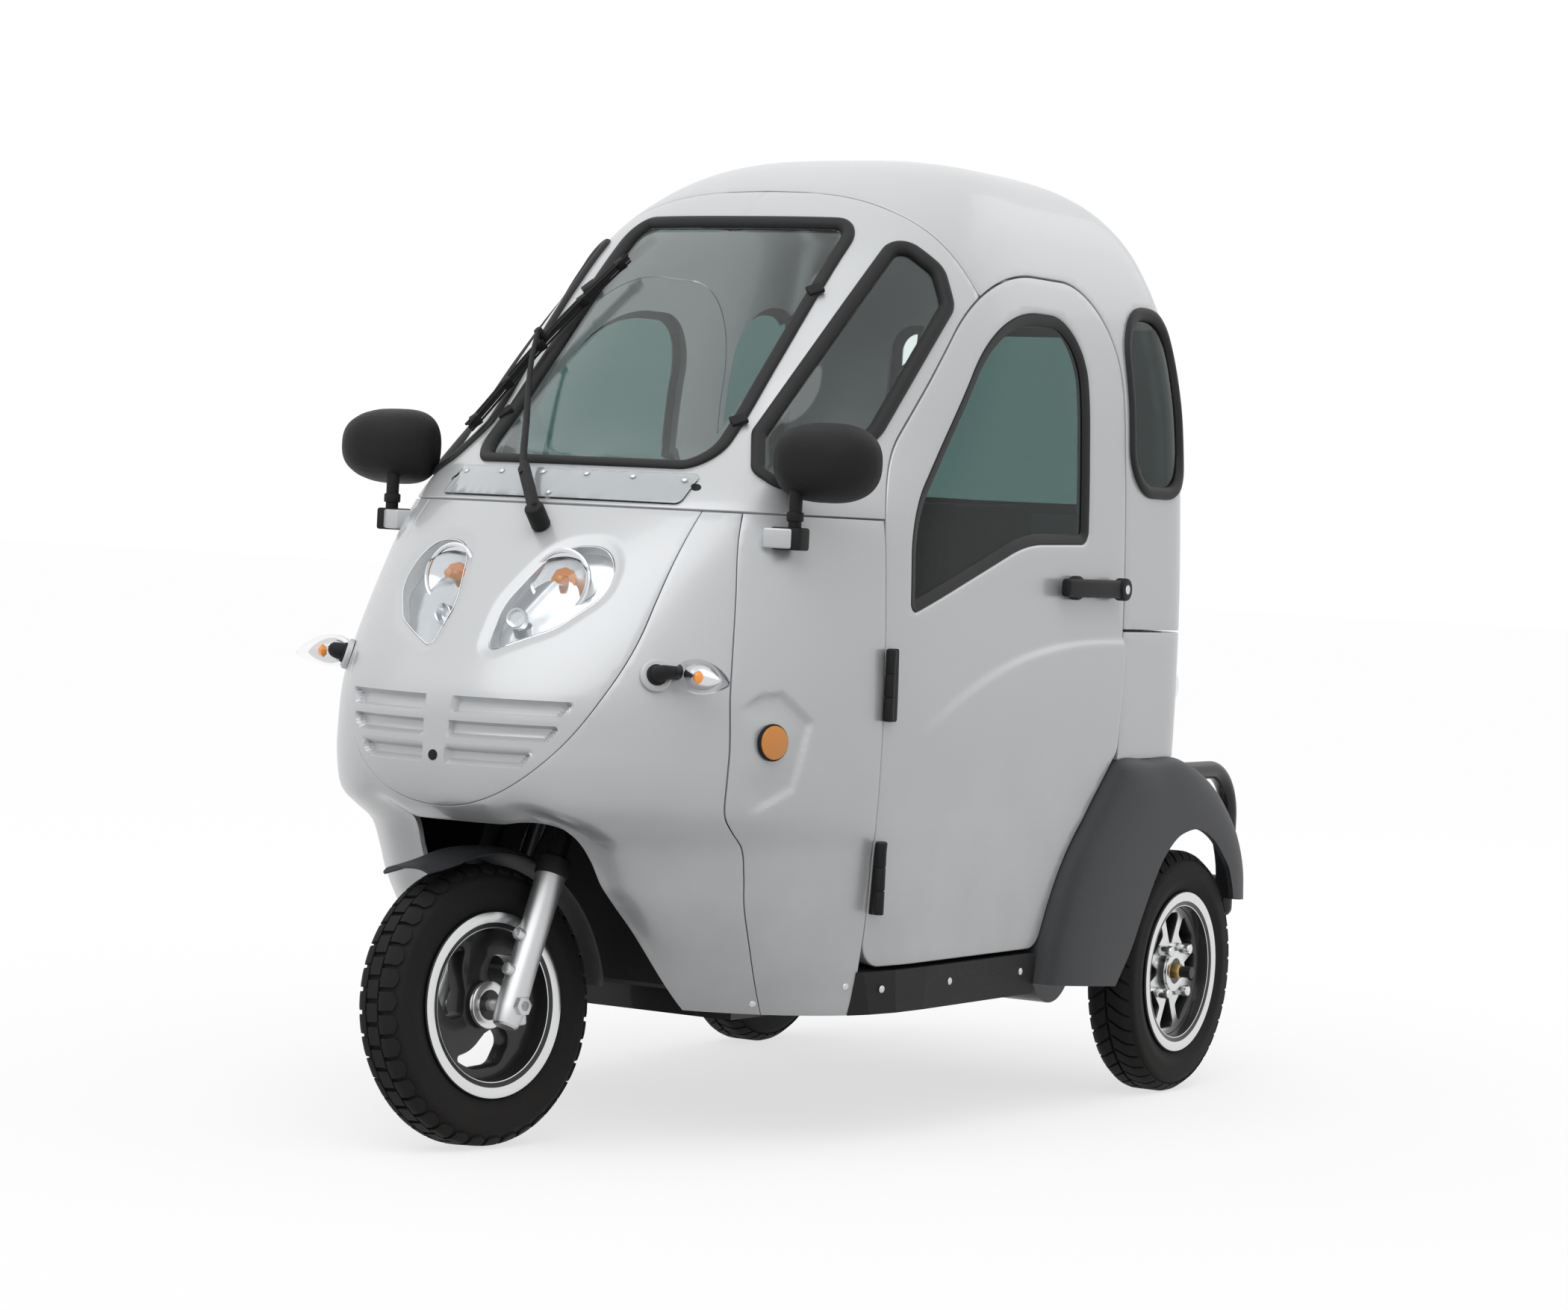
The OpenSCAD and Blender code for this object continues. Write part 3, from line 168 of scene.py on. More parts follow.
def addFloor():
    # pale floor that looks white and holds the object's shadow
    mat, tree, shade = newMaterial("paleFloor")
    setInputs(shade, {"Base Color": (studio["floorTone"],) * 3 + (1,), "Roughness": 1.0,
                      "Specular IOR Level": 0.0, "Emission Color": (studio["floorGlow"],) * 3 + (1,)})
    tree.links.new(seenRays(tree), shade.inputs["Emission Strength"])
    half = studio["floorSize"] / 2
    data = bpy.data.meshes.new("floor")
    data.from_pydata([(-half, -half, 0), (half, -half, 0), (half, half, 0), (-half, half, 0)], [],
                     [(0, 1, 2, 3)])
    data.materials.append(mat)
    floor = bpy.data.objects.new("floor", data)
    bpy.context.scene.collection.objects.link(floor)


makeCamera()
makeStudio()
print("camera and studio ready")

# shared shader groups


def newGroup(name, inputs, outputs):
    group = bpy.data.node_groups.new(name, "ShaderNodeTree")
    for kind, sockets in (("INPUT", inputs), ("OUTPUT", outputs)):
        for label, form, value in sockets:
            socket = group.interface.new_socket(label, in_out=kind, socket_type="NodeSocket" + form)
            if value is not None:
                socket.default_value = value
    return group, group.nodes.new("NodeGroupInput"), group.nodes.new("NodeGroupOutput")


def makeDustAndShadeGroup():
    # thin film of dust that gathers low on the vehicle, which on the silver paint is also painted shade,
    # darker towards the bottom, and faint cloudy variation of colour and gloss
    group, start, end = newGroup(
        "dustAndShadeFilm",
        [("Colour", "Color", (0.5, 0.5, 0.5, 1)), ("DustAndShade", "Color", (0.42, 0.38, 0.33, 1)),
         ("Amount", "Float", 0.1), ("Height", "Float", 0.6), ("Roughness", "Float", 0.4),
         ("Clouding", "Float", 0.05)],
        [("Colour", "Color", None), ("Roughness", "Float", None)])
    coord = group.nodes.new("ShaderNodeTexCoord").outputs["Object"]
    split = group.nodes.new("ShaderNodeSeparateXYZ")
    group.links.new(coord, split.inputs[0])
    low = mathNode(group, "SUBTRACT", 1.0,
                   mathNode(group, "DIVIDE", split.outputs["Z"], start.outputs["Height"]), clamp=True)
    patches = noiseNode(group, coord, 9.0, 6.0)
    share = mathNode(group, "MULTIPLY", mathNode(group, "MULTIPLY", low, patches),
                     start.outputs["Amount"], clamp=True)
    cloud = mathNode(group, "SUBTRACT", noiseNode(group, coord, 4.0, 2.0), 0.5)
    gloss = mathNode(group, "MULTIPLY_ADD", cloud, start.outputs["Clouding"], start.outputs["Roughness"])
    group.links.new(mixColours(group, share, start.outputs["Colour"], start.outputs["DustAndShade"]),
                    end.inputs["Colour"])
    group.links.new(mathNode(group, "MULTIPLY_ADD", share, 0.4, gloss, clamp=True),
                    end.inputs["Roughness"])
    return group


def makeGrainGroup():
    # moulded grain of plastics and rubber, as a height
    group, start, end = newGroup(
        "mouldedGrain", [("Scale", "Float", 900.0), ("Coarse", "Float", 0.3)],
        [("Height", "Float", None)])
    coord = group.nodes.new("ShaderNodeTexCoord").outputs["Object"]
    cells = group.nodes.new("ShaderNodeTexVoronoi")
    group.links.new(coord, cells.inputs["Vector"])
    group.links.new(start.outputs["Scale"], cells.inputs["Scale"])
    swell = noiseNode(group, coord, 60.0, 2.0)
    group.links.new(mathNode(group, "MULTIPLY_ADD", swell, start.outputs["Coarse"],
                             cells.outputs["Distance"]),
                    end.inputs["Height"])
    return group


dustAndShadeFilm = makeDustAndShadeGroup()
mouldedGrain = makeGrainGroup()

# materials

# tone mixed in low down: dust on the dark parts, and painted shade on the silver paint, which it darkens
# towards the bottom
dustAndShadeTone = (0.24, 0.22, 0.195, 1)
finishes = {
    # amount and height of the silver paint set a painted shade that darkens it towards the bottom, with
    # some dust
    "silverPaint": dict(colour=(0.60, 0.615, 0.63), rough=0.34, metallic=0.28, coat=0.4, amount=0.45,
                        height=0.80),
    "blackPlastic": dict(colour=(0.012, 0.012, 0.013), rough=0.52, grain=(1100, 0.0006), amount=0.02,
                         height=0.7, shine=0.2),
    "mudguardPlastic": dict(colour=(0.030, 0.032, 0.037), rough=0.46, grain=(1400, 0.0004), amount=0.06,
                            height=0.7, shine=0.35),
    "sealRubber": dict(colour=(0.016, 0.016, 0.017), rough=0.55, grain=(700, 0.0004), amount=0.03,
                       height=0.9, shine=0.3),
    "tyreRubber": dict(colour=(0.014, 0.013, 0.013), rough=0.72, grain=(500, 0.0008), amount=0.06,
                       height=0.30, shine=0.2),
    "framePaint": dict(colour=(0.016, 0.016, 0.018), rough=0.38, coat=0.2, amount=0.03, height=0.7,
                       shine=0.25),
    "forkAlloy": dict(colour=(0.66, 0.67, 0.68), rough=0.34, metallic=0.85, grain=(800, 0.0002),
                      amount=0.3, height=0.6),
    "brightChrome": dict(colour=(0.80, 0.81, 0.82), rough=0.07, metallic=1.0, amount=0.02, height=0.6),
    "machinedAlloy": dict(colour=(0.74, 0.745, 0.75), rough=0.22, metallic=0.9, amount=0.1, height=0.5),
    "blackAlloy": dict(colour=(0.017, 0.017, 0.019), rough=0.34, coat=0.3, amount=0.10, height=0.5,
                       shine=0.3),
    "lampChrome": dict(colour=(0.70, 0.71, 0.73), rough=0.16, metallic=1.0, amount=0.02, height=0.6),
    "amberPlastic": dict(colour=(0.88, 0.30, 0.02), rough=0.16, coat=0.6, amount=0.05, height=0.6),
    "redPlastic": dict(colour=(0.50, 0.015, 0.015), rough=0.14, coat=0.6, amount=0.05, height=0.6),
    "brassNut": dict(colour=(0.42, 0.27, 0.09), rough=0.36, metallic=0.9, amount=0.3, height=0.6),
    "floorMat": dict(colour=(0.05, 0.05, 0.052), rough=0.8, grain=(300, 0.0010), amount=0.5, height=0.6),
    "batteryCase": dict(colour=(0.10, 0.10, 0.11), rough=0.55, grain=(900, 0.0005), amount=0.2,
                        height=0.6),
    "seatCover": dict(colour=(0.045, 0.045, 0.048), rough=0.50, grain=(260, 0.0009), amount=0.1,
                      height=0.4),
}
clearFinishes = {
    "greenGlass": dict(colour=(0.07, 0.135, 0.125), rough=0.03, ior=1.2),
    "clearGlass": dict(colour=(0.88, 0.94, 0.93), rough=0.03, ior=1.4),
    "clearPlastic": dict(colour=(0.93, 0.95, 0.96), rough=0.05, ior=1.45),
    "lampClear": dict(colour=(0.95, 0.95, 0.95), rough=0.04, ior=1.16),
}


def makeFinish(name, colour, rough, metallic=0.0, coat=0.0, grain=None, amount=0.1, height=0.6,
               shine=0.5):
    mat, tree, shade = newMaterial(name)
    # dust, and on the silver paint painted shade, mixed into the colour towards the bottom
    film = tree.nodes.new("ShaderNodeGroup")
    film.node_tree = dustAndShadeFilm
    setInputs(film, {"Colour": (*colour, 1), "DustAndShade": dustAndShadeTone, "Amount": amount, "Height": height,
                     "Roughness": rough})
    tree.links.new(film.outputs["Colour"], shade.inputs["Base Color"])
    tree.links.new(film.outputs["Roughness"], shade.inputs["Roughness"])
    setInputs(shade, {"Metallic": metallic, "Coat Weight": coat, "Coat Roughness": 0.06,
                      "Specular IOR Level": shine})
    if grain:
        texture = tree.nodes.new("ShaderNodeGroup")
        texture.node_tree = mouldedGrain
        setInputs(texture, {"Scale": grain[0]})
        bump = tree.nodes.new("ShaderNodeBump")
        setInputs(bump, {"Strength": 0.5, "Distance": grain[1]})
        tree.links.new(texture.outputs["Height"], bump.inputs["Height"])
        tree.links.new(bump.outputs["Normal"], shade.inputs["Normal"])
    return mat


def makeClear(name, colour, rough, ior):
    mat, tree, shade = newMaterial(name)
    setInputs(shade, {"Base Color": (*colour, 1), "Transmission Weight": 1.0, "IOR": ior})
    coord = tree.nodes.new("ShaderNodeTexCoord").outputs["Object"]
    smear = mathNode(tree, "MULTIPLY_ADD", noiseNode(tree, coord, 7.0, 4.0), rough, 0.0)
    tree.links.new(smear, shade.inputs["Roughness"])
    return mat


materials = {name: makeFinish(name, **values) for name, values in finishes.items()}
materials.update({name: makeClear(name, **values) for name, values in clearFinishes.items()})
print("materials ready:", len(materials))

# meshes


def addPiece(name, mesh, finish, body, nodes=(), smoothAngle=38.0):
    points, faces = inFrame(mesh[0]), mesh[1]
    data = bpy.data.meshes.new(name)
    data.from_pydata([tuple(p) for p in points], [], [tuple(int(i) for i in f) for f in faces])
    data.materials.append(materials[finish])
    data.validate()
    data.shade_smooth()
    data.set_sharp_from_angle(angle=math.radians(smoothAngle))
    piece = bpy.data.objects.new(name, data)
    bpy.context.scene.collection.objects.link(piece)
    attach(piece, body)
    if nodes:
        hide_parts(*nodes)
    return piece


def addPairs(*rows):
    for name, mesh, finish, slot, nodes in rows:
        addPiece(name, bothSides(mesh), finish, "body", nodes)


def inFrame(points):
    # millimetres from the rear axle to metres in the vehicle's frame
    return (np.asarray(points, float) + np.array([0, axleY, 0])) * mm


def mergeMeshes(meshes):
    points, faces, start = [], [], 0
    for p, f in meshes:
        points.append(np.asarray(p, float))
        faces += [tuple(i + start for i in face) for face in f]
        start += len(p)
    return np.concatenate(points), faces


def mirrored(mesh):
    points, faces = mesh
    return np.asarray(points) * np.array([-1, 1, 1]), [tuple(reversed(f)) for f in faces]


def bothSides(mesh):
    return mergeMeshes([mesh, mirrored(mesh)])


def onSide(mesh, side):
    return mesh if side == "left" else mirrored(mesh)


def gridFaces(rows, count, closed=False):
    # faces between rows of points that each run round a ring
    return [(j * count + i, j * count + (i + 1) % count,
             (j + 1) % rows * count + (i + 1) % count, (j + 1) % rows * count + i)
            for j in range(rows if closed else rows - 1) for i in range(count)]


def bandFaces(rings, plain=None):
    # faces between rings of point numbers, but not where both ends are plain
    n = len(rings[0])
    return [(first[(i + 1) % n], first[i], second[i], second[(i + 1) % n])
            for first, second in zip(rings[:-1], rings[1:]) for i in range(n)
            if plain is None or not (plain[i] and plain[(i + 1) % n])]


def welded(mesh, distance=0.02):
    points, faces = mesh
    keys = np.round(np.asarray(points) / distance).astype(np.int64)
    _, first, back = np.unique(keys, axis=0, return_index=True, return_inverse=True)
    back = back.reshape(-1)
    kept = []
    for face in faces:
        ids = [int(back[i]) for i in face]
        ids = [q for k, q in enumerate(ids) if q != ids[k - 1]]
        if len(ids) > 2:
            kept.append(tuple(ids))
    return np.asarray(points)[first], kept


# the body's skin: one lofted surface, heights above its lower edge

shell = dict(half=436.0, nose=1628.0, tail=102.0, base=205.0, top=1375.0, wall=28.0, belt=966.0,
             waist=801.0, corner=190.0, cornerSquare=2.6, crownDrop=6.5, crownFrom=1215.0,
             frontGirth=950.0, sideGirth=600.0, rearGirth=480.0)
# height, nose's setback, inset of the sides, length and squareness of the front curve, inset of the tail
shellRows = np.array([
    (0, 378, 11, 748, 2.40, 22), (95, 263, 8, 748, 2.30, 17), (171, 182, 5, 748, 2.25, 13),
    (219, 153, 4, 748, 2.25, 11), (261, 121, 3, 748, 2.25, 9), (285, 70, 2, 748, 2.25, 8),
    (309, 23, 2, 748, 2.25, 7), (340, 6, 1, 748, 2.25, 6), (395, 0, 0, 748, 2.25, 2),
    (495, 18, 0, 748, 2.25, 0), (645, 128, 2, 768, 2.35, 0), (760, 249, 6, 788, 2.50, 2),
    (875, 403, 12, 908, 2.70, 5), (995, 528, 22, 1008, 2.80, 12), (1115, 648, 46, 1068, 2.80, 30),
    (1215, 753, 81, 1128, 2.80, 64), (1285, 848, 121, 1178, 2.70, 107), (1335, 948, 174, 1208, 2.60, 167),
    (1363, 1048, 246, 1210, 2.50, 232), (1375, 1148, 336, 1195, 2.40, 302)], float)
lastRow = len(shellRows) - 1
aboveRow = np.minimum(np.arange(len(shellRows)) + 1, lastRow)
belowRow = np.maximum(np.arange(len(shellRows)) - 1, 0)
rowSteps = shellRows[aboveRow] - shellRows[belowRow]
rowSlopes = rowSteps / rowSteps[:, :1]


def hermite(a, b, slopeA, slopeB, d, t):
    # smooth step from a to b over the length d, with the slopes given at its ends
    return (a * (1 + 2 * t) * (1 - t) ** 2 + slopeA * d * t * (1 - t) ** 2
            + b * t * t * (3 - 2 * t) + slopeB * d * t * t * (t - 1))


def rowAt(column, h):
    i = np.clip(np.searchsorted(shellRows[:, 0], h, side="right") - 1, 0, lastRow - 1)
    a, b = shellRows[i, column], shellRows[i + 1, column]
    d = shellRows[i + 1, 0] - shellRows[i, 0]
    t = (h - shellRows[i, 0]) / d
    return hermite(a, b, rowSlopes[i, column], rowSlopes[i + 1, column], d, t)


def smoothStep(t):
    t = np.clip(t, 0, 1)
    return t * t * (3 - 2 * t)


def skinSizes(z):
    h = np.clip(np.asarray(z, float) - shell["base"], 0, shell["top"])
    return dict(h=h, nose=-shell["nose"] + rowAt(1, h), half=shell["half"] - rowAt(2, h),
                arc=-shell["nose"] + rowAt(3, h), square=rowAt(4, h),
                corner=shell["tail"] - rowAt(5, h) - shell["corner"])


def skinPoint(u, z):
    # u runs from the nose (0) over the front curve (1) and the side (2) to the middle of the tail (3)
    s = skinSizes(z)
    u = np.asarray(u, float)
    size = np.abs(u)
    b = np.where(size > 3, 6 - size, size)
    side = np.where(u < 0, -1.0, 1.0) * np.where(size > 3, -1.0, 1.0)
    q = math.pi / 2
    front = np.clip(b, 0, 1)
    rear = np.clip(b - 2, 0, 1)
    frontPower, cornerPower = 2 / s["square"], 2 / shell["cornerSquare"]
    x = np.where(b <= 1, np.abs(np.sin(q * front)) ** frontPower,
                 np.where(b <= 2, 1.0, np.abs(np.cos(q * rear)) ** cornerPower))
    y = np.where(b <= 1, s["arc"] - (s["arc"] - s["nose"]) * np.abs(np.cos(q * front)) ** frontPower,
                 np.where(b <= 2, s["arc"] + (s["corner"] - s["arc"]) * (b - 1),
                          s["corner"] + shell["corner"] * np.abs(np.sin(q * rear)) ** cornerPower))
    crownShare = (s["h"] - shell["crownFrom"]) / (shell["top"] - shell["crownFrom"])
    drop = shell["crownDrop"] * smoothStep(crownShare)
    return np.stack([side * s["half"] * x, y, s["h"] + shell["base"] - drop], -1)


def skinNormal(u, z):
    z = np.clip(z, shell["base"] + 1, shell["base"] + shell["top"] - 1)
    along = skinPoint(u + 0.004, z) - skinPoint(u - 0.004, z)
    up = skinPoint(u, z + 1) - skinPoint(u, z - 1)
    n = np.cross(along, up)
    return n / np.linalg.norm(n, axis=-1, keepdims=True)


def turnShare(ratio, square, turnOf):
    # share of a quarter turn at which a squared curve reaches the ratio
    return turnOf(np.clip(ratio, 0, 1) ** (square / 2)) / (math.pi / 2)


def uFromX(x, z):
    s = skinSizes(z)
    return turnShare(np.abs(x) / s["half"], s["square"], np.arcsin)


def uFromY(y, z):
    s = skinSizes(z)
    front = turnShare((s["arc"] - y) / (s["arc"] - s["nose"]), s["square"], np.arccos)
    side = 1 + (y - s["arc"]) / (s["corner"] - s["arc"])
    rear = 2 + turnShare((y - s["corner"]) / shell["corner"], shell["cornerSquare"], np.arcsin)
    return np.where(y < s["arc"], front, np.where(y < s["corner"], side, rear))


def uRearFromX(x, z):
    s = skinSizes(z)
    return 2 + turnShare(np.abs(x) / s["half"], shell["cornerSquare"], np.arccos)


def uAt(solve, place, z):
    return float(solve(np.array([float(place)]), np.array([float(z)]))[0])


# flat map of the skin: girth along the body, climb up its side
girthStops = np.cumsum([0, shell["frontGirth"], shell["sideGirth"], shell["rearGirth"]])
climbZ = np.linspace(shell["base"], shell["base"] + shell["top"], 500)
climbSteps = np.hypot(np.diff(climbZ), np.diff(rowAt(2, climbZ - shell["base"])))
climbLength = np.concatenate([[0], np.cumsum(climbSteps)])


def toMap(u, z):
    return np.stack([np.interp(u, [0, 1, 2, 3], girthStops), np.interp(z, climbZ, climbLength)], -1)


def fromMap(flat):
    return np.interp(flat[:, 0], girthStops, [0, 1, 2, 3]), np.interp(flat[:, 1], climbLength, climbZ)


# outlines


def rounded(corners, steps=12):
    # outline with rounded corners, each corner with its own radius
    out = []
    for i, (bx, by, r) in enumerate(corners):
        a = np.array(corners[i - 1][:2], float)
        b = np.array((bx, by), float)
        c = np.array(corners[(i + 1) % len(corners)][:2], float)
        if r <= 0:
            out.append(b)
            continue
        p = (a - b) / np.linalg.norm(a - b)
        q = (c - b) / np.linalg.norm(c - b)
        w = math.acos(float(np.clip(p @ q, -1, 1)))
        o = b + (p + q) / np.linalg.norm(p + q) * r / math.sin(w / 2)
        s = b + p * r / math.tan(w / 2) - o
        e = b + q * r / math.tan(w / 2) - o
        s0 = math.atan2(s[1], s[0])
        turn = (math.atan2(e[1], e[0]) - s0 + 3 * math.pi) % (2 * math.pi) - math.pi
        out += [o + r * np.array((math.cos(s0 + turn * k / steps), math.sin(s0 + turn * k / steps)))
                for k in range(steps + 1)]
    return np.array(out)


def spaced(line, gap, closed=True):
    # the same line with points no further apart than the gap
    line = np.asarray(line, float)
    ends = np.roll(line, -1, 0) if closed else line[1:]
    out = []
    for a, b in zip(line if closed else line[:-1], ends):
        n = max(1, int(math.ceil(np.linalg.norm(b - a) / gap)))
        out += [a + (b - a) * k / n for k in range(n)]
    if not closed:
        out.append(line[-1])
    out = np.array(out)
    keep = np.linalg.norm(out - np.roll(out, 1, 0), axis=1) > 0.05
    return out[keep] if closed else out


def grown(outline, distance):
    # outline moved outwards, or inwards when the distance is negative
    outline = spaced(outline, 1e9)
    ahead = np.roll(outline, -1, 0) - outline
    ahead /= np.linalg.norm(ahead, axis=1, keepdims=True)
    back = np.roll(ahead, 1, 0)
    mean = ahead + back
    mean /= np.linalg.norm(mean, axis=1, keepdims=True)
    out = np.stack([mean[:, 1], -mean[:, 0]], -1) * (1 if loopArea(outline) > 0 else -1)
    stretch = np.clip(np.sum(mean * ahead, axis=1), 0.5, 1)
    return outline + out * (distance / stretch)[:, None]


def frontMap(outline):
    return toMap(uFromX(outline[:, 0], outline[:, 1]), outline[:, 1])


def sideMap(outline):
    return toMap(uFromY(outline[:, 0], outline[:, 1]), outline[:, 1])


def rearMap(outline):
    return toMap(uRearFromX(outline[:, 0], outline[:, 1]), outline[:, 1])


def insideLoop(points, loop):
    inside = np.zeros(len(points), bool)
    px, py = points[:, 0], points[:, 1]
    for (ax, ay), (bx, by) in zip(loop, np.roll(loop, -1, 0)):
        if ay == by:
            continue
        cross = ((ay > py) != (by > py)) & (px < (bx - ax) * (py - ay) / (by - ay) + ax)
        inside ^= cross
    return inside


def loopArea(loop):
    return 0.5 * np.sum(loop[:, 0] * np.roll(loop[:, 1], -1) - np.roll(loop[:, 0], -1) * loop[:, 1])


def flatMesh(loops, step, fine=None):
    # triangles inside the first loop and outside the others, with closer points where fine says so
    loops = [loop if (loopArea(loop) > 0) == (k == 0) else loop[::-1] for k, loop in enumerate(loops)]
    edgePoints = np.concatenate(loops)
    low, high = loops[0].min(0), loops[0].max(0)
    grids = []
    for size, chosen in ((step, False), (step / 3, True)):
        if chosen and fine is None:
            continue
        gx, gy = np.meshgrid(np.arange(low[0] + size / 2, high[0], size),
                             np.arange(low[1] + size / 2, high[1], size))
        grid = np.stack([gx.ravel(), gy.ravel()], -1)
        if fine is not None:
            grid = grid[fine(grid) == chosen]
        inside = insideLoop(grid, loops[0])
        for loop in loops[1:]:
            inside &= ~insideLoop(grid, loop)
        grid = grid[inside]
        near = kdtree.KDTree(len(edgePoints))
        for i, p in enumerate(edgePoints):
            near.insert((p[0], p[1], 0), i)
        near.balance()
        far = [near.find((p[0], p[1], 0))[2] > 0.55 * size for p in grid]
        grids.append(grid[np.array(far, bool)] if len(grid) else grid)
    points = np.concatenate([edgePoints, *grids])
    edges, start = [], 0
    for loop in loops:
        n = len(loop)
        edges += [(start + i, start + (i + 1) % n) for i in range(n)]
        start += n
    made = delaunay_2d_cdt([Vector(p) for p in points], edges, [], 0, 1e-5)
    newPoints = np.array([tuple(p) for p in made[0]])
    triangles = np.array([f for f in made[2] if len(f) == 3])
    middles = newPoints[triangles].mean(1)
    keep = insideLoop(middles, loops[0])
    for loop in loops[1:]:
        keep &= ~insideLoop(middles, loop)
    source = {}
    for new, olds in enumerate(made[3]):
        for old in olds:
            source[old] = new
    rings, start = [], 0
    for loop in loops:
        rings.append(np.array([source[start + i] for i in range(len(loop))]))
        start += len(loop)
    return newPoints, triangles[keep], rings


def crownCap(rim, flip):
    # closes half of the oval at the top of the roof with a low dome
    middle = np.array([0, (rim[0, 1] + rim[-1, 1]) / 2, rim[0, 2]])
    shares = (1.0, 0.8, 0.6, 0.4, 0.2, 0.0)
    lift = [np.array([0, 0, shell["crownDrop"] * 0.9 * (1 - s * s)]) for s in shares]
    rows = [middle + (rim - middle) * s + up for s, up in zip(shares, lift)]
    n = len(rim)
    faces = [(j * n + i + 1, j * n + i, (j + 1) * n + i, (j + 1) * n + i + 1)
             for j in range(len(rows) - 1) for i in range(n - 1)]
    return np.concatenate(rows), [face[::-1] for face in faces] if flip else faces


def skinPiece(loops, step, depth=0.0, thick=None, roll=2.0, height=None, fine=None, half=False,
              capFrom=1e9):
    # piece of the skin between its outlines, with rolled edges and its wall; a half is mirrored and joined
    thick = shell["wall"] if thick is None else thick
    rolls = roll if isinstance(roll, (list, tuple)) else [roll] * len(loops)
    flat, triangles, rings = flatMesh(loops, step, fine)
    u, z = fromMap(flat)
    base = skinPoint(u, z)
    normal = skinNormal(u, z)
    middle = half & ((u < 1e-6) | (u > 3 - 1e-6))
    normal[middle, 0] = 0
    rise = -depth + (height(base) if height else 0)
    outer = base + normal * np.reshape(rise, (-1, 1))
    inner = base - normal * (depth + thick)
    for line in (outer, inner):
        line[middle, 0] = 0
    points = [outer, inner]
    count = len(outer)
    faces = [tuple(t) for t in triangles] + [(c + count, b + count, a + count) for a, b, c in triangles]
    start = 2 * count
    for ring, r in zip(rings, rolls):
        n = len(ring)
        edge = outer[ring]
        ahead = np.roll(edge, -1, 0) - np.roll(edge, 1, 0)
        nEdge = normal[ring]
        out = np.cross(ahead, nEdge)
        out /= np.linalg.norm(out, axis=1, keepdims=True) + 1e-12
        joined = middle[ring]
        plain = joined | (z[ring] > capFrom)
        turns = (math.pi / 6, math.pi / 3, math.pi / 2)
        layers = [edge + out * r * math.sin(t) - nEdge * r * (1 - math.cos(t)) for t in turns]
        layers.append(inner[ring] + out * r)
        ids = [ring]
        for layer in layers:
            layer[joined, 0] = 0
            points.append(layer)
            ids.append(np.arange(start, start + n))
            start += n
        ids.append(ring + count)
        faces += bandFaces(ids, plain)
    for surface, flip in ((outer, False), (inner, True)):
        rim = surface[rings[0][z[rings[0]] > capFrom]]
        if len(rim):
            cap, capFaces = crownCap(rim, flip)
            faces += [tuple(k + start for k in face) for face in capFaces]
            points.append(cap)
            start += len(cap)
    mesh = np.concatenate(points), faces
    if half:
        mesh = welded(bothSides(mesh))
    return mesh


def sweptLine(u, z, profile):
    # rubber section swept round an outline on the skin; the profile is (inwards, above the skin)
    edge = skinPoint(u, z)
    normal = skinNormal(u, z)
    ahead = np.roll(edge, -1, 0) - np.roll(edge, 1, 0)
    inward = np.cross(normal, ahead)
    inward /= np.linalg.norm(inward, axis=1, keepdims=True)
    middle = edge.mean(0)
    outwards = np.sum((middle - edge) * inward, axis=1).sum() < 0
    if outwards:
        inward = -inward
    rows = [edge + inward * a + normal * b for a, b in profile]
    faces = gridFaces(len(profile), len(edge), closed=True)
    return np.concatenate(rows), faces if outwards else [face[::-1] for face in faces]


print("skin functions ready")

# outlines of the panels and windows, from the side (y, z) or from the front (x, z)

door = dict(front=1050.0, rear=262.0, foot=281.0, top=1373.0, gap=9.0, grow=2.5, roll=3.0, windowRoll=6.0,
            swooshFoot=586.0, swooshUp=198.0, swooshBend=2.6, swooshRise=7.0)
doorOutline = rounded([
    (-door["front"], door["foot"], 40), (-door["front"], door["top"] - 348, 240),
    (-door["front"] + 360, door["top"], 400), (-door["rear"], door["top"], 170),
    (-door["rear"], 600, 30), (-door["rear"] - 194, 405, 400), (-door["rear"] - 246, door["foot"], 40)],
    24)
doorWindow = rounded([
    (-door["front"] + 65, 822, 14), (-door["front"] + 65, door["top"] - 398, 170),
    (-door["front"] + 372, door["top"] - 57, 330), (-door["rear"] - 122, door["top"] - 57, 105),
    (-door["rear"] - 132, 945, 24), (-door["rear"] - 350, 940, 400)], 24)
screen = dict(half=222.0, foot=1027.0, top=1443.0, sealWide=22.0)
screenOutline = rounded([
    (-screen["half"], screen["foot"], 45), (screen["half"], screen["foot"], 45),
    (screen["half"] - 7, screen["top"], 45), (-screen["half"] + 7, screen["top"], 45)])
quarter = dict(middle=(310, -1000, 1205), turn=(0, 54, -40.5))
quarterOutline = rounded([
    (-272, 118, 40), (-205, 190, 45), (-135, 198, 40), (130, 28, 120), (262, -148, 40), (214, -194, 30),
    (128, -176, 40)])
ovalOutline = rounded([
    (-door["rear"] + 17, 1029, 85), (-door["rear"] + 21, 1353, 100), (-door["rear"] + 232, 1353, 100),
    (-door["rear"] + 250, 1029, 85)])
backWindow = dict(foot=995, top=1335, footHalf=250, topHalf=215, corner=60)
backOutline = rounded([
    (side * backWindow[half], backWindow[edge], backWindow["corner"])
    for side, half, edge in ((-1, "footHalf", "foot"), (1, "footHalf", "foot"),
                             (1, "topHalf", "top"), (-1, "topHalf", "top"))])
cornerPoints = [(305, 205), (325, 323), (341, 471), (351, 600), (345, 715), (327, 843), (298, 966)]
screenMiddle, backMiddle = 1235, 1165
seamLine = [(-705, 1100), (-705, 1285), (-765, 1465), (-770, 1520)]
seamRoll = 1.5
panelRoll = 0.7
edgeStep = 5.0


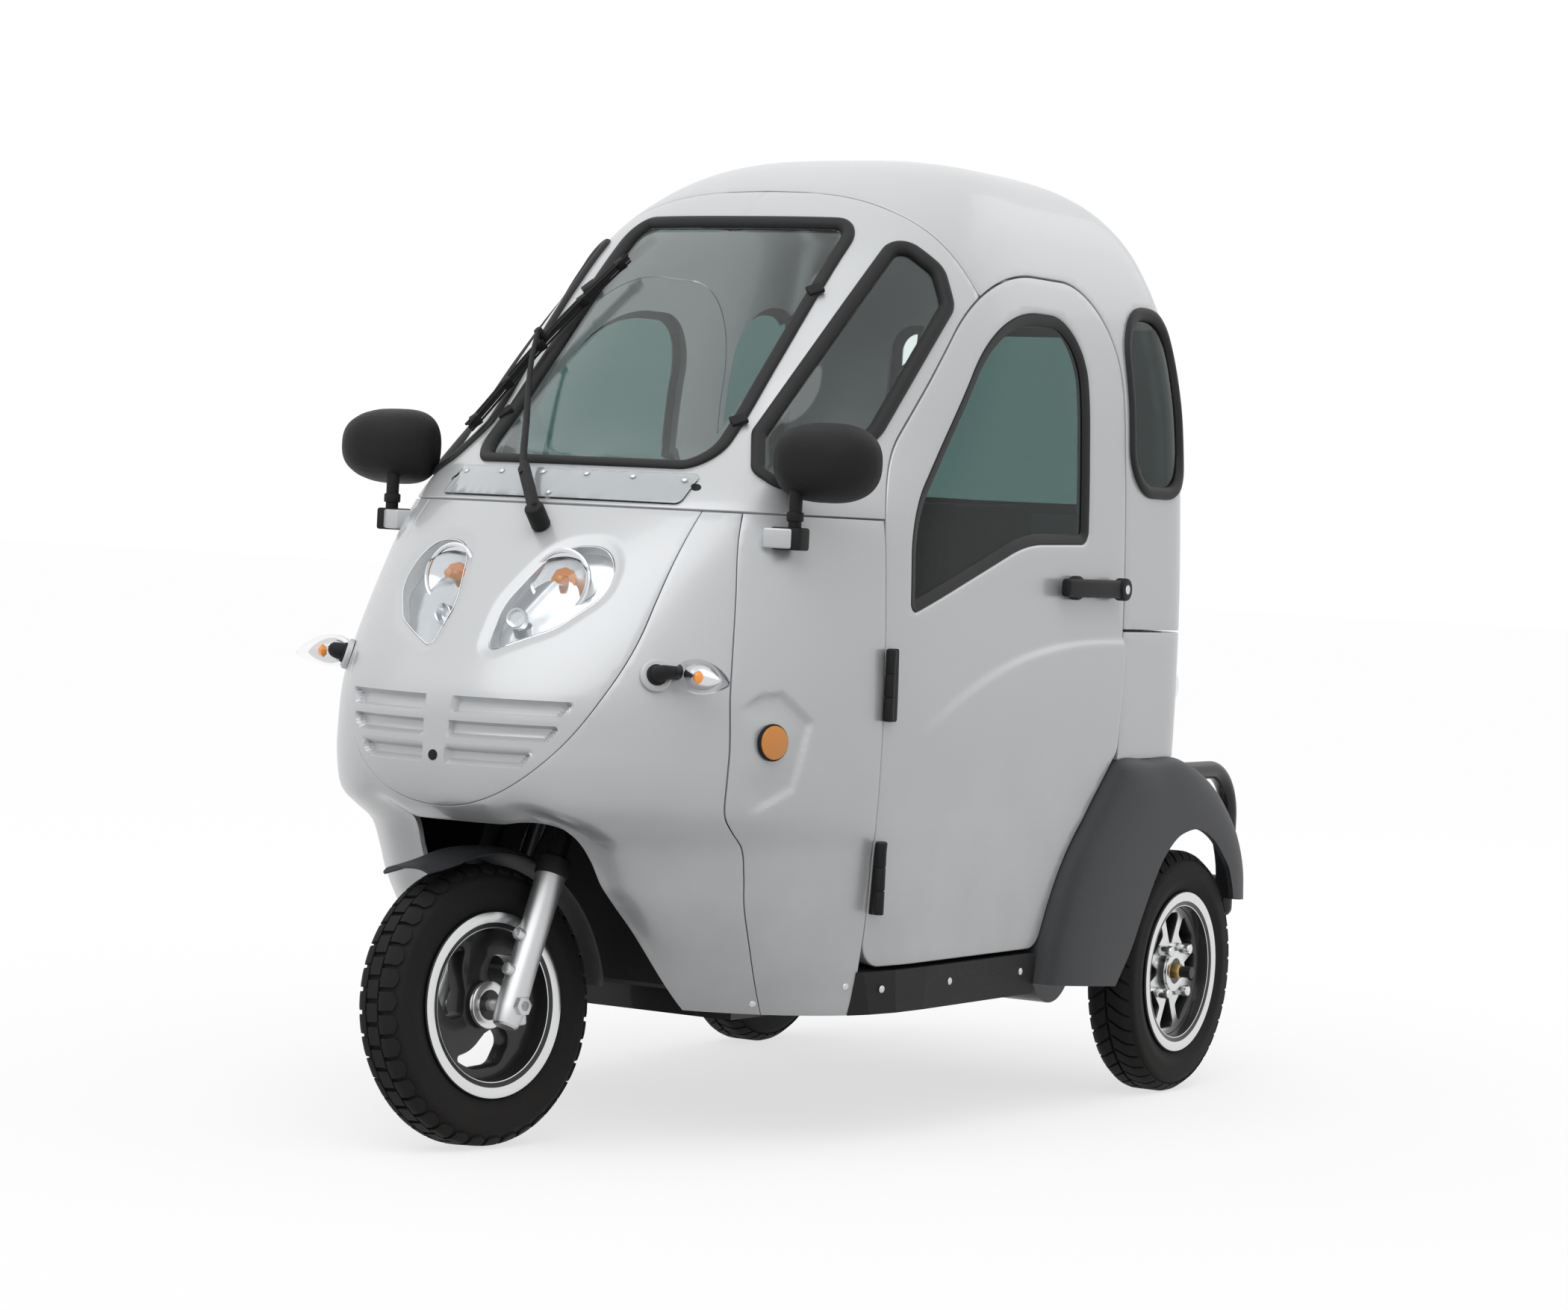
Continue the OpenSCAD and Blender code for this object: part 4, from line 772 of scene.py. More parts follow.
def quarterMap(outline):
    # the quarter window's outline is flat: each point is carried onto the skin along its own direction
    turn = (Matrix.Rotation(math.radians(quarter["turn"][2]), 3, "Z")
            @ Matrix.Rotation(math.radians(quarter["turn"][1]), 3, "Y"))
    across, up = np.array(turn.col[0]), np.array(turn.col[1])
    middle = np.array(quarter["middle"], float)

    def miss(u, z):
        d = skinPoint(u, z) - middle
        return np.stack([d @ across, d @ up], -1) - outline
    u = np.full(len(outline), 0.72)
    z = np.full(len(outline), float(middle[2]))
    for _ in range(25):
        m0 = miss(u, z)
        mu = (miss(u + 1e-3, z) - m0) / 1e-3
        mz = (miss(u, z + 0.5) - m0) / 0.5
        det = mu[:, 0] * mz[:, 1] - mu[:, 1] * mz[:, 0]
        det = np.where(np.abs(det) < 1e-6, 1e-6, det)
        du = -(m0[:, 0] * mz[:, 1] - m0[:, 1] * mz[:, 0]) / det
        dz = -(mu[:, 0] * m0[:, 1] - mu[:, 1] * m0[:, 0]) / det
        u = np.clip(u + np.clip(du, -0.1, 0.1), 0.05, 1.6)
        z = np.clip(z + np.clip(dz, -40, 40), 960, 1560)
    return toMap(u, z)


def lengthsAlong(line):
    return np.concatenate([[0], np.cumsum(np.linalg.norm(np.diff(line, axis=0), axis=1))])


def nearestOnLine(points, line):
    # distance to a line, signed by its side, and the share of the way along it
    line = np.asarray(line, float)
    lengths = lengthsAlong(line)
    best = np.full(len(points), 1e9)
    side = np.zeros(len(points))
    share = np.zeros(len(points))
    for i in range(len(line) - 1):
        a, d = line[i], line[i + 1] - line[i]
        t = np.clip(((points - a) @ d) / (d @ d), 0, 1)
        gap = points - (a + t[:, None] * d)
        dist = np.linalg.norm(gap, axis=1)
        closer = dist < best
        best = np.where(closer, dist, best)
        side = np.where(closer, np.sign(d[0] * gap[:, 1] - d[1] * gap[:, 0]), side)
        share = np.where(closer, (lengths[i] + t * math.sqrt(d @ d)) / lengths[-1], share)
    return best * side, share


def curveThrough(points, count=80):
    # smooth curve through a few points
    p = np.asarray(points, float)
    knots = lengthsAlong(p)
    slopes = np.gradient(p, knots, axis=0)
    t = np.linspace(0, knots[-1], count)
    i = np.clip(np.searchsorted(knots, t, side="right") - 1, 0, len(p) - 2)
    d = (knots[i + 1] - knots[i])[:, None]
    s = ((t - knots[i])[:, None]) / d
    return hermite(p[i], p[i + 1], slopes[i], slopes[i + 1], d, s)


# doors

swooshShare = np.linspace(0, 1, 80)
swooshCurve = np.stack([
    -door["front"] + 24 + swooshShare * (door["front"] - door["rear"] - 22),
    door["swooshFoot"] + door["swooshUp"] * (1 - (1 - swooshShare) ** door["swooshBend"])], -1)


def doorHeight(base):
    # a crease rises along the curve, proud below it and fading down the door
    below, share = nearestOnLine(base[:, 1:], swooshCurve)
    below = -below
    strength = door["swooshRise"] * smoothStep(share / 0.35)
    rise = smoothStep((below + 9) / 18) * (1 - smoothStep((below - 20) / 190))
    return strength * rise


def nearSwoosh(flat):
    u, z = fromMap(flat)
    p = skinPoint(u, z)
    gap, _ = nearestOnLine(p[:, 1:], swooshCurve)
    return np.abs(gap) < 26


def makeDoors():
    outer = sideMap(spaced(grown(doorOutline, door["grow"] - door["roll"]), edgeStep))
    window = sideMap(spaced(grown(doorWindow, door["windowRoll"]), edgeStep))
    mesh = skinPiece([outer, window], 11.0, roll=[door["roll"], door["windowRoll"]], height=doorHeight,
                     fine=nearSwoosh)
    pane = skinPiece([sideMap(spaced(grown(doorWindow, 5), 8))], 16.0, depth=9, thick=5, roll=0.5)
    lip = [(-1, -4), (1, -1.5), (6, -2.5), (14, -5), (17, -8.6), (17, -15), (-1, -15)]
    seal = sweptLine(*fromMap(sideMap(spaced(doorWindow, edgeStep))), lip)
    for side in ("left", "right"):
        for name, part, finish, slot, nodes in (
                ("doorPanel", mesh, "silverPaint", "silver_paint", ["door_" + side]),
                ("doorGlass", pane, "greenGlass", "glass", ["door_" + side + "_glass"]),
                ("doorSeal", seal, "sealRubber", "rubber_seal", [])):
            addPiece(name + "." + side, onSide(part, side), finish, side + "_door", nodes)


makeDoors()
print("doors ready")

# front panels, cowl and apron

cornerLine = curveThrough(cornerPoints, 40)
cowl = dict(half=250.0, middle=800.0, drop=286.0)
archShape = dict(low=150, high=487, lowHalf=205, highHalf=150, corner=70, gap=3.0)
arch = rounded([
    (-archShape["lowHalf"], archShape["low"], 0),
    (-archShape["highHalf"], archShape["high"], archShape["corner"]),
    (archShape["highHalf"], archShape["high"], archShape["corner"]),
    (archShape["lowHalf"], archShape["low"], 0)], 16)
grilleRows = [(665, 189, 27), (630, 176, 24), (591, 144, 22)]
grilleShape = dict(high=19.0, depth=12.0, soft=5.0, slant=0.75)
hexGroove = [(-1365, 675), (-1318, 701), (-1277, 705), (-1214, 659), (-1246, 553), (-1332, 511)]
hexDepth = 9.0
headlightOutline = rounded([
    (50, 744, 12), (42, 815, 70), (80, 906, 60), (178, 910, 52), (186, 835, 44), (140, 784, 70)], 16)
headlightLoop = np.vstack([headlightOutline, headlightOutline[:1]])
beltEdge = shell["belt"] - 1 - seamRoll


def cowlArc(extra):
    turns = np.radians(np.arange(90, -1, -2.0))
    return np.stack([(cowl["half"] + extra) * np.cos(turns),
                     cowl["middle"] - (cowl["drop"] + extra) * np.sin(turns)], -1)


def grilleHeight(base):
    x, z = np.abs(base[:, 0]), base[:, 2]
    g = grilleShape
    depth = np.zeros(len(base))
    for mid, outerEnd, innerEnd in grilleRows:
        vertical = g["high"] / 2 - np.abs(z - mid)
        outerSide = (outerEnd + g["slant"] * (z - mid)) - x
        inside = np.minimum(np.minimum(vertical, x - innerEnd), outerSide)
        depth = np.maximum(depth, smoothStep(inside / g["soft"] + 0.5))
    return -g["depth"] * depth


def lampRecess(base):
    gap, _ = nearestOnLine(np.stack([np.abs(base[:, 0]), base[:, 2]], -1), headlightLoop)
    return -5.0 * (1 - smoothStep(np.abs(gap) / 17))


def cowlHeight(base):
    return grilleHeight(base) + lampRecess(base)


def nearCowlDetail(flat):
    u, z = fromMap(flat)
    p = skinPoint(u, z)
    grille = (p[:, 2] > 560) & (p[:, 2] < 690) & (p[:, 0] < 225)
    gap, _ = nearestOnLine(p[:, [0, 2]], headlightLoop)
    return grille | (np.abs(gap) < 22)


def makeCowl():
    bottom = cowlArc(-seamRoll)
    top = [(cowl["half"] - seamRoll, beltEdge), (0, beltEdge)]
    loop = frontMap(spaced(np.vstack([bottom, top]), edgeStep))
    lamp = frontMap(spaced(grown(headlightOutline, 1.5), 4.0))
    mesh = skinPiece([loop, lamp], 12.0, roll=[seamRoll, 1.5], height=cowlHeight, fine=nearCowlDetail,
                     half=True)
    addPiece("frontCowl", mesh, "silverPaint", "body", ["front_cowl"])


def archHeight(base):
    # the skin turns in towards the wheel arch
    x, z = np.abs(base[:, 0]), base[:, 2]
    gap, _ = nearestOnLine(np.stack([x, z], -1), arch)
    near = 1 - smoothStep(np.abs(gap) / 95)
    return -20 * near * near * smoothStep((x - 70) / 90) * smoothStep((z - 215) / 120)


def makeApron():
    a, foot = archShape, shell["base"]
    footHalf = np.interp(foot, [a["low"], a["high"]], [a["lowHalf"], a["highHalf"]]) + a["gap"]
    kept = (arch[:, 0] > 0) & (arch[:, 1] > foot)
    inner = np.vstack([[(0, a["high"] + a["gap"])], grown(arch, a["gap"])[kept], [(footHalf, foot)]])
    corner = cornerLine - (0.5 + panelRoll, 0)
    upper = cowlArc(panelRoll + 0.5)[::-1]
    top = [(corner[-1][0], beltEdge), (upper[0][0], beltEdge)]
    loop = frontMap(spaced(np.vstack([inner, corner[:-1], top, upper]), edgeStep))
    mesh = skinPiece([loop], 11.0, roll=panelRoll, height=archHeight, half=True)
    addPiece("frontApron", mesh, "silverPaint", "body", ["front_apron"])


def panelHeight(base):
    gap, share = nearestOnLine(base[:, 1:], hexGroove)
    ends = smoothStep(share / 0.12) * smoothStep((1 - share) / 0.12)
    # step down inside the line that runs out again towards the middle
    inside = -gap
    return -hexDepth * smoothStep(inside / 11) * (1 - smoothStep((inside - 14) / 60)) * ends


def nearHex(flat):
    u, z = fromMap(flat)
    p = skinPoint(u, z)
    gap, _ = nearestOnLine(p[:, 1:], hexGroove)
    return np.abs(gap - 6) < 26


def makeFrontPanels():
    corner = cornerLine + (panelRoll, 0)
    front = frontMap(spaced(corner, edgeStep, closed=False))
    topZ, lowZ = beltEdge, shell["base"]
    edgeY = -door["front"] - door["gap"] + 3
    front[-1, 1] = toMap(0, topZ)[1]
    back = sideMap(spaced(np.array([(edgeY, topZ), (edgeY, lowZ)]), edgeStep, closed=False))
    loop = spaced(np.vstack([front, back]), edgeStep)
    mesh = skinPiece([loop], 11.0, roll=panelRoll, height=panelHeight, fine=nearHex)
    for side in ("left", "right"):
        addPiece("frontPanel." + side, onSide(mesh, side), "silverPaint", "body",
                 ["front_panel_" + side])


makeCowl()
makeApron()
makeFrontPanels()
print("front panels ready")

# windscreen surround and roof


def halfOutline(outline, middleZ):
    # left half of an outline, from its foot to its top
    half = outline[outline[:, 0] >= 0]
    return half[np.argsort(np.arctan2(half[:, 1] - middleZ, half[:, 0]))]


def doorEdge():
    # opening round the doors, from the belt in front over the top and down to the waist behind
    gap = door["gap"] - 4
    line = spaced(grown(doorOutline, gap + 1.5), edgeStep)
    start = int(np.argmin(np.abs(line[:, 1] - shell["belt"]) + 1000 * (line[:, 0] > -800)))
    line = np.roll(line, -start, 0)
    if line[20, 1] < line[0, 1]:
        line = np.roll(line[::-1], 1, 0)
    return line


def seamY(z):
    pts = np.array(seamLine, float)
    return np.interp(z, pts[:, 1], pts[:, 0])


def topOfSeam():
    zs = np.linspace(1400, 1560, 600)
    nose = skinPoint(np.zeros(600), zs)[:, 1]
    return zs[int(np.argmin(np.abs(nose - seamY(zs))))]


def makeScreenFrame():
    edge = doorEdge()
    shift = 1.0 + seamRoll
    end = int(np.argmax(edge[:, 0] > seamY(edge[:, 1]) - shift))
    doorPart = edge[:end]
    doorPart[0] = (doorPart[0][0], shell["belt"] + 1 + seamRoll)
    topZ = topOfSeam()
    seamZ = np.arange(doorPart[-1][1] + 4, topZ, edgeStep)
    seam = np.stack([seamY(seamZ) - shift, seamZ], -1)
    side = sideMap(np.vstack([doorPart, seam]))
    foot = toMap(np.array([0.0]), np.array([shell["belt"] + 1 + seamRoll]))
    crown = toMap(np.array([0.0]), np.array([topZ - 2]))
    loop = spaced(np.vstack([foot, side, crown]), edgeStep)
    halfScreen = halfOutline(screenOutline, screenMiddle)
    notch = np.vstack([[(0, screen["foot"])], halfScreen, [(0, screen["top"])]])
    cut = frontMap(spaced(notch, edgeStep, closed=False))
    body = loop[loop[:, 0] > 1e-3]
    outline = np.vstack([foot, body, crown, cut[::-1]])
    panes = quarterMap(spaced(quarterOutline, edgeStep))
    mesh = skinPiece([outline, panes], 11.0, roll=[seamRoll, 1.5], half=True)
    addPiece("screenFrame", mesh, "silverPaint", "body", ["windscreen_frame"])


def makeRoof():
    edge = doorEdge()
    shift = 1.0 + seamRoll
    first = int(np.argmax(edge[:, 0] > seamY(edge[:, 1]) + shift))
    waist = shell["waist"] + 1 + seamRoll
    last = first + int(np.argmax((edge[first:, 1] < waist) & (edge[first:, 0] > -600)))
    doorPart = edge[first:last]
    topZ = topOfSeam()
    seamZ = np.arange(topZ, doorPart[0][1] + 3, -edgeStep)
    seam = np.stack([seamY(seamZ) + shift, seamZ], -1)
    side = sideMap(np.vstack([seam, doorPart]))
    waistEnd = toMap(np.array([3.0]), np.array([waist]))
    roofTop = shell["base"] + shell["top"]
    halfBack = halfOutline(backOutline, backMiddle)
    notch = rearMap(spaced(np.vstack([[(0, backWindow["foot"])], halfBack, [(0, backWindow["top"])]]),
                           edgeStep, closed=False))
    crown = toMap(np.array([3.0, 0.0]), np.array([roofTop, roofTop]))
    front = toMap(np.array([0.0]), np.array([topZ + 2]))
    loop = spaced(np.vstack([front, side, waistEnd, notch, crown]), edgeStep)
    oval = sideMap(spaced(ovalOutline, edgeStep))
    mesh = skinPiece([loop, oval], 13.0, roll=[seamRoll, 1.5], half=True, capFrom=roofTop - 0.5)
    addPiece("roofShell", mesh, "silverPaint", "body", ["roof_shell"])


makeScreenFrame()
makeRoof()
print("roof ready")

# glass and seals

sealProfile = [(-1, -6), (-1, 2.5), (1.5, 5.8), (6, 7), (12, 6.6), (17, 4.2), (20, 0.5), (21, -4),
               (21, -12), (-1, -12)]


def windowPane(loop, half=False):
    return skinPiece([loop], 20.0, depth=4, thick=5, roll=0.5, half=half)


def halfPane(outline, middleZ, mapped):
    half = halfOutline(outline, middleZ)
    loop = np.vstack([[(0, half[0][1])], half, [(0, half[-1][1])]])
    return windowPane(mapped(spaced(loop, 8.0)), half=True)


def makeGlass():
    inset = 8 - screen["sealWide"]
    front = halfPane(grown(screenOutline, inset), screenMiddle, frontMap)
    quarterPane = windowPane(quarterMap(spaced(grown(quarterOutline, inset), 8.0)))
    oval = windowPane(sideMap(spaced(grown(ovalOutline, inset), 8.0)))
    back = halfPane(grown(backOutline, inset), backMiddle, rearMap)
    addPiece("windscreenGlass", front, "clearGlass", "body", ["windscreen"])
    addPiece("quarterGlass", bothSides(quarterPane), "clearGlass", "body", ["quarter_glass"])
    addPiece("rearGlass", bothSides(oval), "greenGlass", "body", ["rear_glass"])
    addPiece("backGlass", back, "clearGlass", "body")


def makeSeals():
    gap = 5.0
    full = spaced(screenOutline, gap)
    u = uFromX(full[:, 0], full[:, 1]) * np.sign(full[:, 0] + 1e-9)
    ring = sweptLine(u, full[:, 1], sealProfile)
    addPiece("windscreenSeal", ring, "sealRubber", "body", ["windscreen_seal"])
    loop = quarterMap(spaced(quarterOutline, gap))
    ring = sweptLine(*fromMap(loop), sealProfile)
    addPiece("quarterSeals", bothSides(ring), "sealRubber", "body", ["quarter_seals"])
    ring = sweptLine(*fromMap(sideMap(spaced(ovalOutline, gap))), sealProfile)
    full = spaced(backOutline, gap)
    u = uRearFromX(full[:, 0], full[:, 1])
    u = np.where(full[:, 0] < 0, 6 - u, u)
    back = sweptLine(u, full[:, 1], sealProfile)
    rear = mergeMeshes([ring, mirrored(ring), back])
    addPiece("rearSeals", rear, "sealRubber", "body", ["rear_seals"])


makeGlass()
makeSeals()
print("glass ready")

# forms shared by the fittings


def revolved(profile, count=40, closed=False):
    # outline of (place along X, radius) turned about X; an open one begins and ends on the axis
    turns = np.arange(count) * 2 * math.pi / count
    rings = [np.stack([np.full(count, a), r * np.cos(turns), r * np.sin(turns)], -1) for a, r in profile]
    faces = gridFaces(len(profile), count, closed)
    return oriented(welded((np.concatenate(rings), faces), 0.001))


def oriented(mesh):
    # the same mesh with its faces pointing outwards
    form = bmesh.new()
    corners = [form.verts.new(p) for p in mesh[0]]
    for face in mesh[1]:
        form.faces.new([corners[i] for i in face])
    bmesh.ops.recalc_face_normals(form, faces=form.faces)
    form.verts.index_update()
    faces = [tuple(v.index for v in f.verts) for f in form.faces]
    form.free()
    return mesh[0], faces


def placed(mesh, origin, axis=(1, 0, 0)):
    turn = np.array(Vector((1, 0, 0)).rotation_difference(Vector(axis).normalized()).to_matrix())
    return np.asarray(mesh[0]) @ turn.T + np.asarray(origin, float), mesh[1]


def rod(a, b, r, bevel=1.5, count=32):
    a, b = np.asarray(a, float), np.asarray(b, float)
    length = float(np.linalg.norm(b - a))
    soft = 0.3 * bevel
    profile = [(0, 0), (0, r - bevel), (soft, r - soft), (bevel, r), (length - bevel, r),
               (length - soft, r - soft), (length, r - bevel), (length, 0)]
    return placed(revolved(profile, count), a, b - a)


def slab(low, high, bevel, segments=3):
    # box with rounded edges
    form = bmesh.new()
    bmesh.ops.create_cube(form, size=1.0)
    low, high = np.asarray(low, float), np.asarray(high, float)
    for v in form.verts:
        v.co = Vector(low + (np.array(v.co) + 0.5) * (high - low))
    bmesh.ops.bevel(form, geom=list(form.edges), offset=bevel, segments=segments, profile=0.5,
                    affect="EDGES")
    bmesh.ops.recalc_face_normals(form, faces=form.faces)
    form.verts.index_update()
    mesh = np.array([tuple(v.co) for v in form.verts]), [tuple(v.index for v in f.verts)
                                                         for f in form.faces]
    form.free()
    return mesh


def beam(a, b, wide, high, bevel=3.0):
    # box along a line
    length = float(np.linalg.norm(np.asarray(b, float) - np.asarray(a, float)))
    return placed(slab((0, -wide / 2, -high / 2), (length, wide / 2, high / 2), bevel), a,
                  np.subtract(b, a))


def tubeAlong(line, radius, count=14):
    line = np.asarray(line, float)
    n = len(line)
    radius = np.broadcast_to(np.asarray(radius, float), (n,))
    ahead = np.gradient(line, axis=0)
    ahead /= np.linalg.norm(ahead, axis=1, keepdims=True)
    side = np.cross(ahead[0], (0.31, 0.52, 0.79))
    turns = np.arange(count) * 2 * math.pi / count
    rings = []
    for i in range(n):
        side = side - ahead[i] * (side @ ahead[i])
        side /= np.linalg.norm(side)
        other = np.cross(ahead[i], side)
        rings.append(line[i] + radius[i]
                     * (np.outer(np.cos(turns), side) + np.outer(np.sin(turns), other)))
    faces = [tuple(range(count)), tuple(range((n - 1) * count, n * count))]
    return oriented((np.concatenate(rings), faces + gridFaces(n, count)))


def sheetMesh(grid, thick):
    # curved sheet through rows of points, thickened towards its back
    grid = np.asarray(grid, float)
    n, m = grid.shape[:2]
    normal = np.cross(np.gradient(grid, axis=1), np.gradient(grid, axis=0))
    normal /= np.linalg.norm(normal, axis=2, keepdims=True)
    points = np.concatenate([grid.reshape(-1, 3), (grid - normal * thick).reshape(-1, 3)])
    back = n * m
    faces = []
    for j in range(n - 1):
        for i in range(m - 1):
            face = (j * m + i, j * m + i + 1, (j + 1) * m + i + 1, (j + 1) * m + i)
            faces += [face, tuple(q + back for q in reversed(face))]
    rim = ([i for i in range(m)] + [j * m + m - 1 for j in range(1, n)]
           + [(n - 1) * m + i for i in range(m - 2, -1, -1)] + [j * m for j in range(n - 2, 0, -1)])
    for a, b in zip(rim, rim[1:] + rim[:1]):
        faces.append((b, a, a + back, b + back))
    return oriented((points, faces))


def plate(loops, low, high, roll, step=16.0):
    # flat plate across X with holes and softened front edges; its front triangles come first
    flat, triangles, rings = flatMesh(loops, step)
    count = len(flat)
    front = np.column_stack([np.full(count, high), flat])
    rear = np.column_stack([np.full(count, low), flat])
    points = [front, rear]
    faces = [tuple(t) for t in triangles] + [(c + count, b + count, a + count) for a, b, c in triangles]
    start = 2 * count
    for ring in rings:
        n = len(ring)
        ahead = np.roll(flat[ring], -1, 0) - np.roll(flat[ring], 1, 0)
        out = np.stack([ahead[:, 1], -ahead[:, 0]], -1)
        out /= np.linalg.norm(out, axis=1, keepdims=True)
        ids = [ring]
        for share in (0.35, 1.0):
            place = flat[ring] + out * roll * math.sin(share * math.pi / 2)
            points.append(np.column_stack([np.full(n, high - roll * (1 - math.cos(share * math.pi / 2))),
                                           place]))
            ids.append(np.arange(start, start + n))
            start += n
        points.append(np.column_stack([np.full(n, low), flat[ring] + out * roll]))
        ids.append(np.arange(start, start + n))
        start += n
        ids.append(ring + count)
        faces += bandFaces(ids)
    return np.concatenate(points), faces, len(triangles)


def circle(radius, count=96):
    turns = np.arange(count) * 2 * math.pi / count
    return np.stack([radius * np.cos(turns), radius * np.sin(turns)], -1)


def spun(outline, angle):
    c, s = math.cos(math.radians(angle)), math.sin(math.radians(angle))
    return np.stack([outline[:, 0] * c - outline[:, 1] * s, outline[:, 0] * s + outline[:, 1] * c], -1)


def skinSpot(u, z, off=0.0):
    # point at a distance off the skin, and the direction out of it
    u, z = np.array([float(u)]), np.array([float(z)])
    out = skinNormal(u, z)[0]
    return skinPoint(u, z)[0] + off * out, out


# repeated details as geometry node trees


def newTree(name, sockets):
    tree = bpy.data.node_groups.new(name, "GeometryNodeTree")
    for label, kind in sockets:
        tree.interface.new_socket(label, in_out="INPUT", socket_type="NodeSocket" + kind)
    tree.interface.new_socket("Geometry", in_out="OUTPUT", socket_type="NodeSocketGeometry")
    return tree, tree.nodes.new("NodeGroupInput"), tree.nodes.new("NodeGroupOutput")


def endTree(tree, start, end, geometry):
    real = tree.nodes.new("GeometryNodeRealizeInstances")
    paint = tree.nodes.new("GeometryNodeSetMaterial")
    tree.links.new(geometry, real.inputs["Geometry"])
    tree.links.new(real.outputs["Geometry"], paint.inputs["Geometry"])
    tree.links.new(start.outputs["Material"], paint.inputs["Material"])
    tree.links.new(paint.outputs["Geometry"], end.inputs["Geometry"])


def makeRingTree():
    # copies of a form turned about the X axis
    tree, start, end = newTree("ringArray",
                               [("Geometry", "Geometry"), ("Count", "Int"), ("Material", "Material")])
    spots = tree.nodes.new("GeometryNodePoints")
    index = tree.nodes.new("GeometryNodeInputIndex")
    turn = tree.nodes.new("ShaderNodeCombineXYZ")
    copies = tree.nodes.new("GeometryNodeInstanceOnPoints")
    step = mathNode(tree, "DIVIDE", 2 * math.pi, start.outputs["Count"])
    tree.links.new(mathNode(tree, "MULTIPLY", index.outputs[0], step), turn.inputs["X"])
    tree.links.new(start.outputs["Count"], spots.inputs["Count"])
    tree.links.new(spots.outputs[0], copies.inputs["Points"])
    tree.links.new(start.outputs["Geometry"], copies.inputs["Instance"])
    tree.links.new(turn.outputs[0], copies.inputs["Rotation"])
    endTree(tree, start, end, copies.outputs["Instances"])
    return tree


def makeScrewTree():
    # domed screw heads on points, each facing the way stored with its point
    tree, start, end = newTree("screwHeads", [
        ("Geometry", "Geometry"), ("Radius", "Float"), ("Height", "Float"), ("Material", "Material")])
    head = tree.nodes.new("GeometryNodeMeshUVSphere")
    setInputs(head, {"Segments": 16, "Rings": 8, "Radius": 1.0})
    size = tree.nodes.new("ShaderNodeCombineXYZ")
    facing = tree.nodes.new("GeometryNodeInputNamedAttribute")
    facing.data_type = "FLOAT_VECTOR"
    setInputs(facing, {"Name": "facing"})
    align = tree.nodes.new("FunctionNodeAlignRotationToVector")
    align.axis = "Z"
    copies = tree.nodes.new("GeometryNodeInstanceOnPoints")
    for axis, label in (("X", "Radius"), ("Y", "Radius"), ("Z", "Height")):
        tree.links.new(start.outputs[label], size.inputs[axis])
    tree.links.new(facing.outputs["Attribute"], align.inputs["Vector"])
    tree.links.new(start.outputs["Geometry"], copies.inputs["Points"])
    tree.links.new(head.outputs["Mesh"], copies.inputs["Instance"])
    tree.links.new(align.outputs["Rotation"], copies.inputs["Rotation"])
    tree.links.new(size.outputs[0], copies.inputs["Scale"])
    endTree(tree, start, end, copies.outputs["Instances"])
    return tree


def grownMesh(tree, points, faces, values, facing=None):
    # result of a tree on a seed mesh, as points and faces
    data = bpy.data.meshes.new("seed")
    data.from_pydata([tuple(p) for p in points], [], faces)
    if facing is not None:
        layer = data.attributes.new("facing", "FLOAT_VECTOR", "POINT")
        layer.data.foreach_set("vector", np.asarray(facing, float).ravel())
    seed = bpy.data.objects.new("seed", data)
    bpy.context.scene.collection.objects.link(seed)
    repeat = seed.modifiers.new("repeat", "NODES")
    repeat.node_group = tree
    for item in tree.interface.items_tree:
        if item.in_out == "INPUT" and item.name in values:
            repeat[item.identifier] = values[item.name]
    graph = bpy.context.evaluated_depsgraph_get()
    made = bpy.data.meshes.new_from_object(seed.evaluated_get(graph))
    out = np.empty(3 * len(made.vertices))
    made.vertices.foreach_get("co", out)
    faces = [tuple(p.vertices) for p in made.polygons]
    bpy.data.objects.remove(seed)
    bpy.data.meshes.remove(data)
    bpy.data.meshes.remove(made)
    return out.reshape(-1, 3), faces


ringTree = makeRingTree()
screwTree = makeScrewTree()


def ringOf(mesh, count, finish):
    return grownMesh(ringTree, mesh[0], mesh[1], {"Count": count, "Material": materials[finish]})


def addScrews(name, spots, radius, height, finish, body):
    # spots are (point, direction) in millimetres from the rear axle
    points = np.array([p for p, _ in spots])
    facing = np.array([d for _, d in spots])
    mesh = grownMesh(screwTree, points, [],
                     {"Radius": radius, "Height": height, "Material": materials[finish]}, facing)
    return addPiece(name, mesh, finish, body)


print("shared forms ready")

# rear body and mudguards

guard = dict(edgeX=439.0, lipX=472.0, inner=402.0, thick=5.0, bulge=2.4, lipTurn=9.0)
# edge on the body (y, z), lip of the arch (y, z)
guardRows = np.array([
    (-512, 220, -294, 206), (-492, 301, -246, 258), (-436, 413, -205, 318), (-367, 501, -164, 376),
    (-306, 559, -128, 417), (-262, 582, -95, 440), (-150, 583, -45, 457), (-40, 583, 10, 459),
    (60, 552, 62, 442), (150, 498, 108, 411), (207, 440, 138, 383), (234, 384, 154, 352),
    (241, 324, 160, 333)], float)


